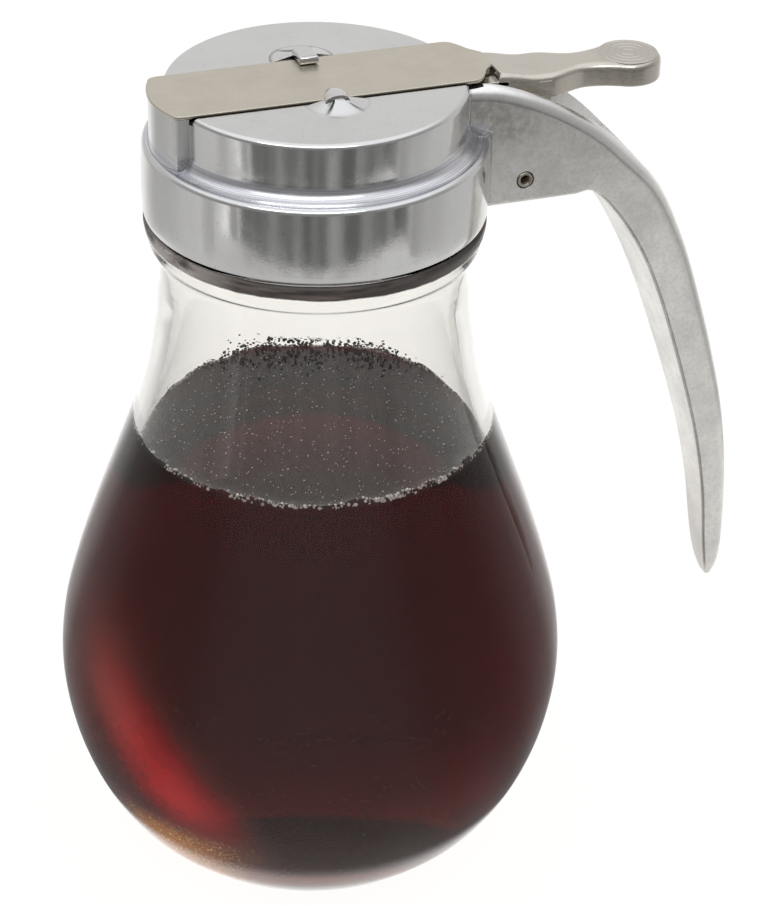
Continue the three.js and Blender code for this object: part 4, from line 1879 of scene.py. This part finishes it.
@dataclass
class ThumbLever:
    """The sprung lever: a sheet tray with its rims turned down, ears on the pin, a slotted nose and a
    ringed pad."""

    top: float = 144.2
    sheet: float = 1.0
    half: float = 5.3
    waist_half: float = 3.3
    waist_from: float = 39.2
    waist_x: float = 46.2
    start: float = 29.7
    pad_x: float = 55.0
    pad_radius: float = 5.6
    skirt_low: float = 140.2
    ear_radius: float = 3.1
    pin_x: float = 33.7
    pin_z: float = 127.6
    rim_round: float = 1.25
    ring_gap: float = 1.15
    ring_count: int = 4
    nose_rise: float = 1.15
    rise_from: float = 37.5
    lip: tuple[float, float] = (27.0, 31.5)
    slot: tuple[float, float] = (27.9, 30.2)
    slot_half: float = 2.8
    pin_hole: float = 1.8

    def half_at(self, x: np.ndarray) -> np.ndarray:
        """Half width along X: straight, eased in to the waist, then out to meet the round pad.

        Args:
            x: Places along X.

        Returns:
            Half of the width at each.
        """
        join_x = self.pad_x - 2.9
        join_half = math.sqrt(self.pad_radius**2 - (self.pad_x - join_x) ** 2)
        inwards = self.half + (self.waist_half - self.half) * ease(
            (x - self.waist_from) / (self.waist_x - self.waist_from)
        )
        t = np.clip((x - self.waist_x) / (join_x - self.waist_x), 0.0, 1.0)
        outwards = self.waist_half + (join_half - self.waist_half) * t**1.8
        pad = np.sqrt(np.maximum(self.pad_radius**2 - (x - self.pad_x) ** 2, 0.0))
        return np.where(x < self.waist_x, inwards, np.where(x < join_x, outwards, pad))

    def plan(self) -> np.ndarray:
        """The tray's plan, going round with the inside on the left.

        Returns:
            The plan's points.
        """
        x = np.linspace(self.start, self.pad_x - 0.4, 90)
        side = np.stack([x, -self.half_at(x)], 1)
        end = arc((self.pad_x, 0.0), self.pad_radius, -90.0, 90.0, 48)
        return np.concatenate([side, end, side[::-1] * np.array([1.0, -1.0])])

    def tray(self) -> Skin:
        """The tray's closed shell: down from the flat top round the rim to the skirt's foot, then up inside
        to the underside of the sheet. Towards the strip the top bends up by an eased rise.

        Returns:
            The closed shell.
        """
        outline = self.plan()
        radius = self.rim_round
        angle = np.radians(np.linspace(90.0, 0.0, 7))
        rows = [(radius + 0.08, self.top)]
        rows += [(radius * (1 - math.cos(a)), self.top - radius * (1 - math.sin(a))) for a in angle]
        rows += [(0.0, self.skirt_low + 0.3), (0.1, self.skirt_low + 0.08), (0.3, self.skirt_low)]
        rows += [(self.sheet - 0.3, self.skirt_low), (self.sheet - 0.08, self.skirt_low + 0.1)]
        rows += [(self.sheet, self.top - self.sheet - 0.5), (self.sheet + 0.5, self.top - self.sheet)]
        rings = np.array(
            [np.column_stack([inset(outline, back), np.full(len(outline), z)]) for back, z in rows[::-1]]
        )
        made = lofted(rings, True)
        wall = self.top - self.sheet - self.skirt_low
        share = np.clip((made.points[:, 2] - self.skirt_low) / wall, 0.0, 1.0)
        bend = ease((self.rise_from - made.points[:, 0]) / (self.rise_from - self.start)) * self.nose_rise
        made.points[:, 2] += bend * share
        return made

    def rings_disc(self) -> Skin:
        """The pad's face: a disc whose height swells by a ring's height times a narrow bump at each ring.

        Returns:
            The closed disc.
        """
        r = np.linspace(0.0, self.ring_gap * self.ring_count + 0.42, 96)
        height = np.zeros_like(r)
        for k in range(1, self.ring_count + 1):
            height += 0.1 * np.exp(-(((r - k * self.ring_gap) / 0.15) ** 2))
        height += 0.06 * np.exp(-((r / 0.35) ** 2))
        rim = np.column_stack([r[::-1], self.top + 0.01 + height[::-1]])
        under = np.array([[0.0, self.top - 0.4], [r[-1], self.top - 0.4]])
        return turned(np.concatenate([under, rim]), 96).moved(self.pad_x, 0.0, 0.0)

    def ears(self) -> Skin:
        """The two ears from the skirt down to the pin.

        Returns:
            Both ears.
        """
        low = arc((self.pin_x, self.pin_z), self.ear_radius, 180.0, 360.0, 24)
        outline = np.concatenate(
            [
                [(29.2, self.top - 1.0), (29.2, 140.2), (self.pin_x - self.ear_radius, self.pin_z + 1.0)],
                low,
                [
                    (self.pin_x + self.ear_radius, self.pin_z + 1.0),
                    (self.waist_from, self.skirt_low + 0.2),
                    (self.waist_from, self.top - 1.0),
                ],
            ]
        )
        one = crosswise(outline, self.sheet / 2 - 0.03)
        shift = self.half - self.sheet / 2
        return one.moved(0.0, shift, 0.0).with_skins(one.moved(0.0, -shift, 0.0))

    def build(self, sheet: bpy.types.Material) -> list[bpy.types.Object]:
        """Makes the lever in the CAD lever's place.

        Args:
            sheet: Its material.

        Returns:
            The lever and its pad's rings.
        """
        thing = self.tray().piece("lever_sheet")
        (near, far), half = self.lip, self.half
        nose_outline = np.array([(near, -half), (far, -half), (far, half), (near, half)])
        join(thing, rounded_plate(nose_outline, self.top - self.sheet, self.top, 0.15, 2), Shape.ADD)
        ears = self.ears().piece("ears")
        hole = np.array([[0.0, -20.0], [self.pin_hole, -20.0], [self.pin_hole, 20.0], [0.0, 20.0]])
        join(ears, bar(self.pin_x, self.pin_z, hole, 40), Shape.CUT)
        legs = Skin(*CapCasting.raw(ears))
        bpy.data.objects.remove(ears)
        join(thing, legs, Shape.ADD)
        start, end = self.slot
        join(thing, block((start, -self.slot_half, 140.0), (end, self.slot_half, 146.0)), Shape.CUT)
        smooth_but_sharp(thing, 38.0)
        dress(thing, sheet, Body.LEVER)
        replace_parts(thing, "thumb_lever")
        pad = self.rings_disc().piece("pad_rings")
        pad.data.shade_smooth()
        pad.data.set_sharp_from_angle(angle=math.radians(60))
        return [thing, dress(pad, sheet, Body.LEVER)]


@dataclass
class PivotPin:
    """The hollow pin through the bracket and the lever's ears."""

    x: float = 33.7
    z: float = 127.6
    radius: float = 1.5
    bore: float = 0.75
    half_length: float = 9.1
    sides: int = 56

    def build(self, steel: bpy.types.Material) -> bpy.types.Object:
        """Makes the pin in the CAD pin's place.

        Args:
            steel: Its material.

        Returns:
            The pin.
        """
        end, bore, radius, sides = self.half_length, self.bore, self.radius, self.sides
        half_loop = [(bore, -end + 0.25), (bore + 0.2, -end), (radius - 0.25, -end), (radius, -end + 0.3)]
        loop = np.array(half_loop + [(r, -y) for r, y in half_loop[::-1]])
        angle = np.linspace(0.0, 2 * math.pi, sides, endpoint=False)
        x = self.x + loop[:, 0:1] * np.cos(angle)
        z = self.z - loop[:, 0:1] * np.sin(angle)
        grid = np.stack([x, np.repeat(loop[:, 1:2], sides, 1), z], -1)
        thing = Skin(grid.reshape(-1, 3), quads(len(loop), sides, True, True)).piece("hollow_pin")
        smooth_but_sharp(thing, 40.0, False)
        dress(thing, steel, Body.DISPENSER)
        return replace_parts(thing, "pivot_pin")


# Studio

# Strengths of light by direction, as degrees from the open front towards the right, and strength. The first
# three are the floor close by, further out and far out, and the fourth is the room, as metal and what is seen
# through glass show them. The last two are the floor and room as clear glass mirrors them.

FLOOR_NEAR = (
    (-180.0, 1.0), (-130.0, 0.92), (-90.0, 0.5), (-60.0, 0.42), (-30.0, 0.38), (0.0, 0.38), (30.0, 0.38),
    (45.0, 0.5), (60.0, 0.62), (90.0, 0.7), (130.0, 1.0), (180.0, 1.0),
)
FLOOR_MID = (
    (-180.0, 1.0), (-130.0, 0.95), (-90.0, 0.62), (-60.0, 0.62), (0.0, 0.62), (60.0, 0.68), (90.0, 0.75),
    (130.0, 1.0), (180.0, 1.0),
)
FLOOR_FAR = (
    (-180.0, 1.0), (-150.0, 0.95), (-122.0, 0.48), (-106.0, 0.5), (-85.0, 0.6), (-62.0, 0.62), (-50.0, 0.68),
    (-42.0, 0.11), (-30.0, 0.12), (-20.0, 0.24), (-9.0, 0.17), (0.0, 0.12), (12.0, 0.22), (20.0, 0.16),
    (30.0, 0.17), (42.0, 0.13), (52.0, 0.18), (62.0, 0.36), (80.0, 0.48), (100.0, 0.58), (120.0, 0.6),
    (145.0, 0.95), (180.0, 1.0),
)
ROOM_WALLS = (
    (-180.0, 0.82), (-120.0, 0.66), (-90.0, 0.42), (-60.0, 0.34), (-40.0, 0.28), (0.0, 0.28), (40.0, 0.28),
    (60.0, 0.32), (90.0, 0.42), (120.0, 0.66), (180.0, 0.82),
)
GLASS_FLOOR = (
    (-180.0, 1.3), (-151.0, 1.2), (-134.0, 0.55), (-113.0, 0.26), (-86.0, 0.17), (-60.0, 0.22), (-30.0, 0.38),
    (0.0, 0.42), (30.0, 0.38), (60.0, 0.22), (86.0, 0.17), (113.0, 0.26), (134.0, 0.55), (151.0, 1.2),
    (180.0, 1.3),
)
GLASS_WALLS = (
    (-180.0, 0.82), (-130.0, 0.7), (-100.0, 0.26), (-60.0, 0.26), (-30.0, 0.42), (0.0, 0.45), (30.0, 0.42),
    (60.0, 0.26), (100.0, 0.26), (130.0, 0.7), (180.0, 0.82),
)


@dataclass
class Studio:
    """Camera, floor and soft light. To the camera the floor and background are plain and pale. What is
    mirrored or seen through glass is a fixed pattern of light, dim in front and bright behind."""

    azimuth: float = -20.3
    elevation: float = 31.0387
    roll: float = 1.487
    distance: float = 521.56
    target: Place = (13.6347, 0.0, 76.0213)
    focal_pixels: float = 3000.0
    long_side_pixels: float = 906.0
    sensor: float = 36.0
    floor_radius: float = 4000.0

    def camera(self) -> bpy.types.Object:
        """Sets the camera: back from the target along its line of sight, tilted about it by the roll, and
        all of it turned about Z by the azimuth.

        Returns:
            The camera.
        """
        e, r = math.radians(self.elevation), math.radians(self.roll)
        back = Vector((0.0, -math.cos(e), math.sin(e)))
        right = Vector((1.0, 0.0, 0.0))
        up = back.cross(right)
        tilted_right = right * math.cos(r) + up * math.sin(r)
        tilted_up = up * math.cos(r) - right * math.sin(r)
        turn = Matrix.Rotation(math.radians(self.azimuth), 3, "Z")
        place = turn @ ((Vector(self.target) + back * self.distance) * MM)
        axes = Matrix((turn @ tilted_right, turn @ tilted_up, turn @ back)).transposed()
        data = bpy.data.cameras.new("camera")
        data.sensor_fit, data.sensor_width, data.sensor_height = "AUTO", self.sensor, self.sensor
        data.lens = self.focal_pixels * self.sensor / self.long_side_pixels
        data.clip_start, data.clip_end = 0.01, 50.0
        thing = bpy.data.objects.new("camera", data)
        bpy.context.scene.collection.objects.link(thing)
        thing.matrix_world = Matrix.Translation(place) @ axes.to_4x4()
        bpy.context.scene.camera = thing
        return thing

    def turn(self, s: Sketch, way: Socket) -> Socket:
        """Angle of a direction or place round the studio in radians, from its open front towards the right.

        Args:
            s: The material's nodes.
            way: The direction or place.

        Returns:
            The angle.
        """
        a = math.radians(self.azimuth)
        towards, beside = (math.sin(a), -math.cos(a), 0.0), (math.cos(a), math.sin(a), 0.0)
        front = s.node("VectorMath", operation="DOT_PRODUCT", i0=way, i1=towards).outputs["Value"]
        across = s.node("VectorMath", operation="DOT_PRODUCT", i0=way, i1=beside).outputs["Value"]
        return s.maths("ARCTAN2", across, front)

    @staticmethod
    def mirrored(s: Sketch) -> Socket:
        """A mark of 1 for what clear glass mirrors, and 0 for what is seen in metal or through the glass."""
        path = s.node("LightPath").outputs
        return s.times(path["Is Singular Ray"], s.maths("SUBTRACT", 1.0, path["Is Transmission Ray"]))

    @staticmethod
    def scattered(s: Sketch) -> Socket:
        """A mark of 1 for light that a matt surface has scattered on its way."""
        return s.maths("MINIMUM", s.node("LightPath").outputs["Diffuse Depth"], 1.0)

    def floor(self) -> bpy.types.Object:
        """A wide plain pale floor, which glows so that it stays even.

        Returns:
            The floor.
        """
        rings = np.array([[0.0, 0.0], [120.0, 0.0], [600.0, 0.0], [self.floor_radius, 0.0]])
        disc = turned(rings, 96)
        thing = Skin(disc.points, [f[::-1] for f in disc.faces]).piece("floor")
        s = Sketch("pale floor")
        light = s.mix(s.node("LightPath").outputs["Is Camera Ray"], self.floor_light(s), 0.98)
        matt = s.node("BsdfDiffuse", Color=(0.05, 0.05, 0.05), Roughness=0.0)
        glow = s.node("Emission", Color=(1.0, 0.99, 0.975), Strength=light)
        both = s.node("AddShader", i0=matt.outputs[0], i1=glow.outputs[0])
        thing.data.materials.append(s.finish(both.outputs[0]))
        return thing

    def floor_light(self, s: Sketch) -> Socket:
        """The floor's strength where the camera doesn't see it straight: three rings by distance, the outer
        one streaked and its edge bowed towards the sides, another pattern for what clear glass mirrors, and
        an even light for what a matt surface scatters.

        Args:
            s: The material's nodes.

        Returns:
            The strength.
        """
        where = s.node("TexCoord").outputs["Object"]
        turn = self.turn(s, where)
        aside = s.maths("ABSOLUTE", turn)
        radius = s.node("VectorMath", operation="LENGTH", i0=where).outputs["Value"]
        streak = s.node("TexNoise", noise_dimensions="1D", W=s.maths("ADD", turn, 9.1), Scale=5.5, Detail=3.0)
        ring = s.ring(turn, FLOOR_FAR)
        dark = s.times(ring, s.span(streak.outputs["Fac"], 0.36, 0.64, 0.5, 1.5))
        far = s.mix(s.span(aside, 1.0, 1.4), dark, ring)
        bow = s.times(s.maths("POWER", s.maths("DIVIDE", turn, 0.87), 2.0), s.span(aside, 1.2, 0.95))
        edge = s.maths("MULTIPLY_ADD", bow, -0.05, radius)
        light = s.mix(s.span(radius, 0.1, 0.14), s.ring(turn, FLOOR_NEAR), s.ring(turn, FLOOR_MID))
        light = s.mix(s.span(edge, 0.226, 0.242), light, far)
        in_glass = s.mix(s.span(radius, 0.0345, 0.0405), 1.15, s.ring(turn, GLASS_FLOOR))
        light = s.mix(self.mirrored(s), light, in_glass)
        return s.mix(self.scattered(s), light, 1.0)

    def world(self) -> bpy.types.World:
        """Soft light from all round: bright above, fair behind and dim in front. The camera sees plain
        white.

        Returns:
            The world.
        """
        s = Sketch("studio", True)
        bpy.context.scene.world = s.made
        way = s.node("TexCoord").outputs["Generated"]
        turn = self.turn(s, way)
        up = s.node("SeparateXYZ", Vector=way).outputs["Z"]
        level = s.mix(self.mirrored(s), s.ring(turn, ROOM_WALLS), s.ring(turn, GLASS_WALLS))
        level = s.mix(self.scattered(s), level, 0.9)
        light = s.mix(s.span(up, 0.52, 0.8), level, 1.2)
        tone = s.blend(s.span(up, 0.5, 0.8), (1.0, 0.995, 0.99), (0.96, 0.98, 1.0))
        glow = s.node("Background", Color=tone, Strength=light)
        plain = s.node("Background", Color=(1.0, 1.0, 1.0), Strength=1.0)
        seen = s.node("LightPath").outputs["Is Camera Ray"]
        return s.finish(s.node("MixShader", i0=seen, i1=glow.outputs[0], i2=plain.outputs[0]).outputs[0])

    def soft_light(
        self, name: str, place: Sequence[float], size: Sequence[float], power: float
    ) -> bpy.types.Object:
        """A soft area light that faces the middle of the part.

        Args:
            name: Its name.
            place: Where it hangs.
            size: Its width and height.
            power: Its power in watts.

        Returns:
            The light.
        """
        data = bpy.data.lights.new(name, "AREA")
        data.shape, data.size, data.size_y, data.energy = "RECTANGLE", size[0] * MM, size[1] * MM, power
        thing = bpy.data.objects.new(name, data)
        bpy.context.scene.collection.objects.link(thing)
        at = Vector(place) * MM
        aim = Vector((0.0, 0.0, 0.08)) - at
        thing.location = at
        thing.rotation_euler = aim.to_track_quat("-Z", "Y").to_euler()
        return thing

    def build(self) -> None:
        """Sets camera, floor, world and lights."""
        bpy.context.scene.view_settings.view_transform = "Standard"
        self.camera()
        self.floor()
        self.world()
        self.soft_light("overhead", (-200, -420, 900), (900, 120), 1.6)
        LOG.info("studio set")


def main() -> None:
    """Builds the studio and each sub-assembly in order."""
    logging.basicConfig(level=logging.INFO, format="%(name)s %(message)s")
    Studio().build()
    jar = GlassJar()
    fill = SyrupFill(jar)
    jar.build(ClearGlass().material(), fill.level + 0.4)
    fill.build(DarkSyrup(level=fill.level).material(), BubbleSkin().material(), StickyDrop().material())
    NeckFilm().build(ShadeAndResidueFilm().material())
    CapCasting().build(CastMetal().material())
    ShutterStrip().build(SatinSheet("strip sheet", (0.6, 0.55, 0.465), (0.49, 0.45, 0.385)).material())
    ThumbLever().build(SatinSheet("lever sheet", (0.62, 0.58, 0.515), (0.52, 0.485, 0.43), 0.25).material())
    PivotPin().build(SatinSheet("pin steel", (0.5, 0.46, 0.4), (0.3, 0.27, 0.23), 0.35).material())


if __name__ == "__main__":
    main()
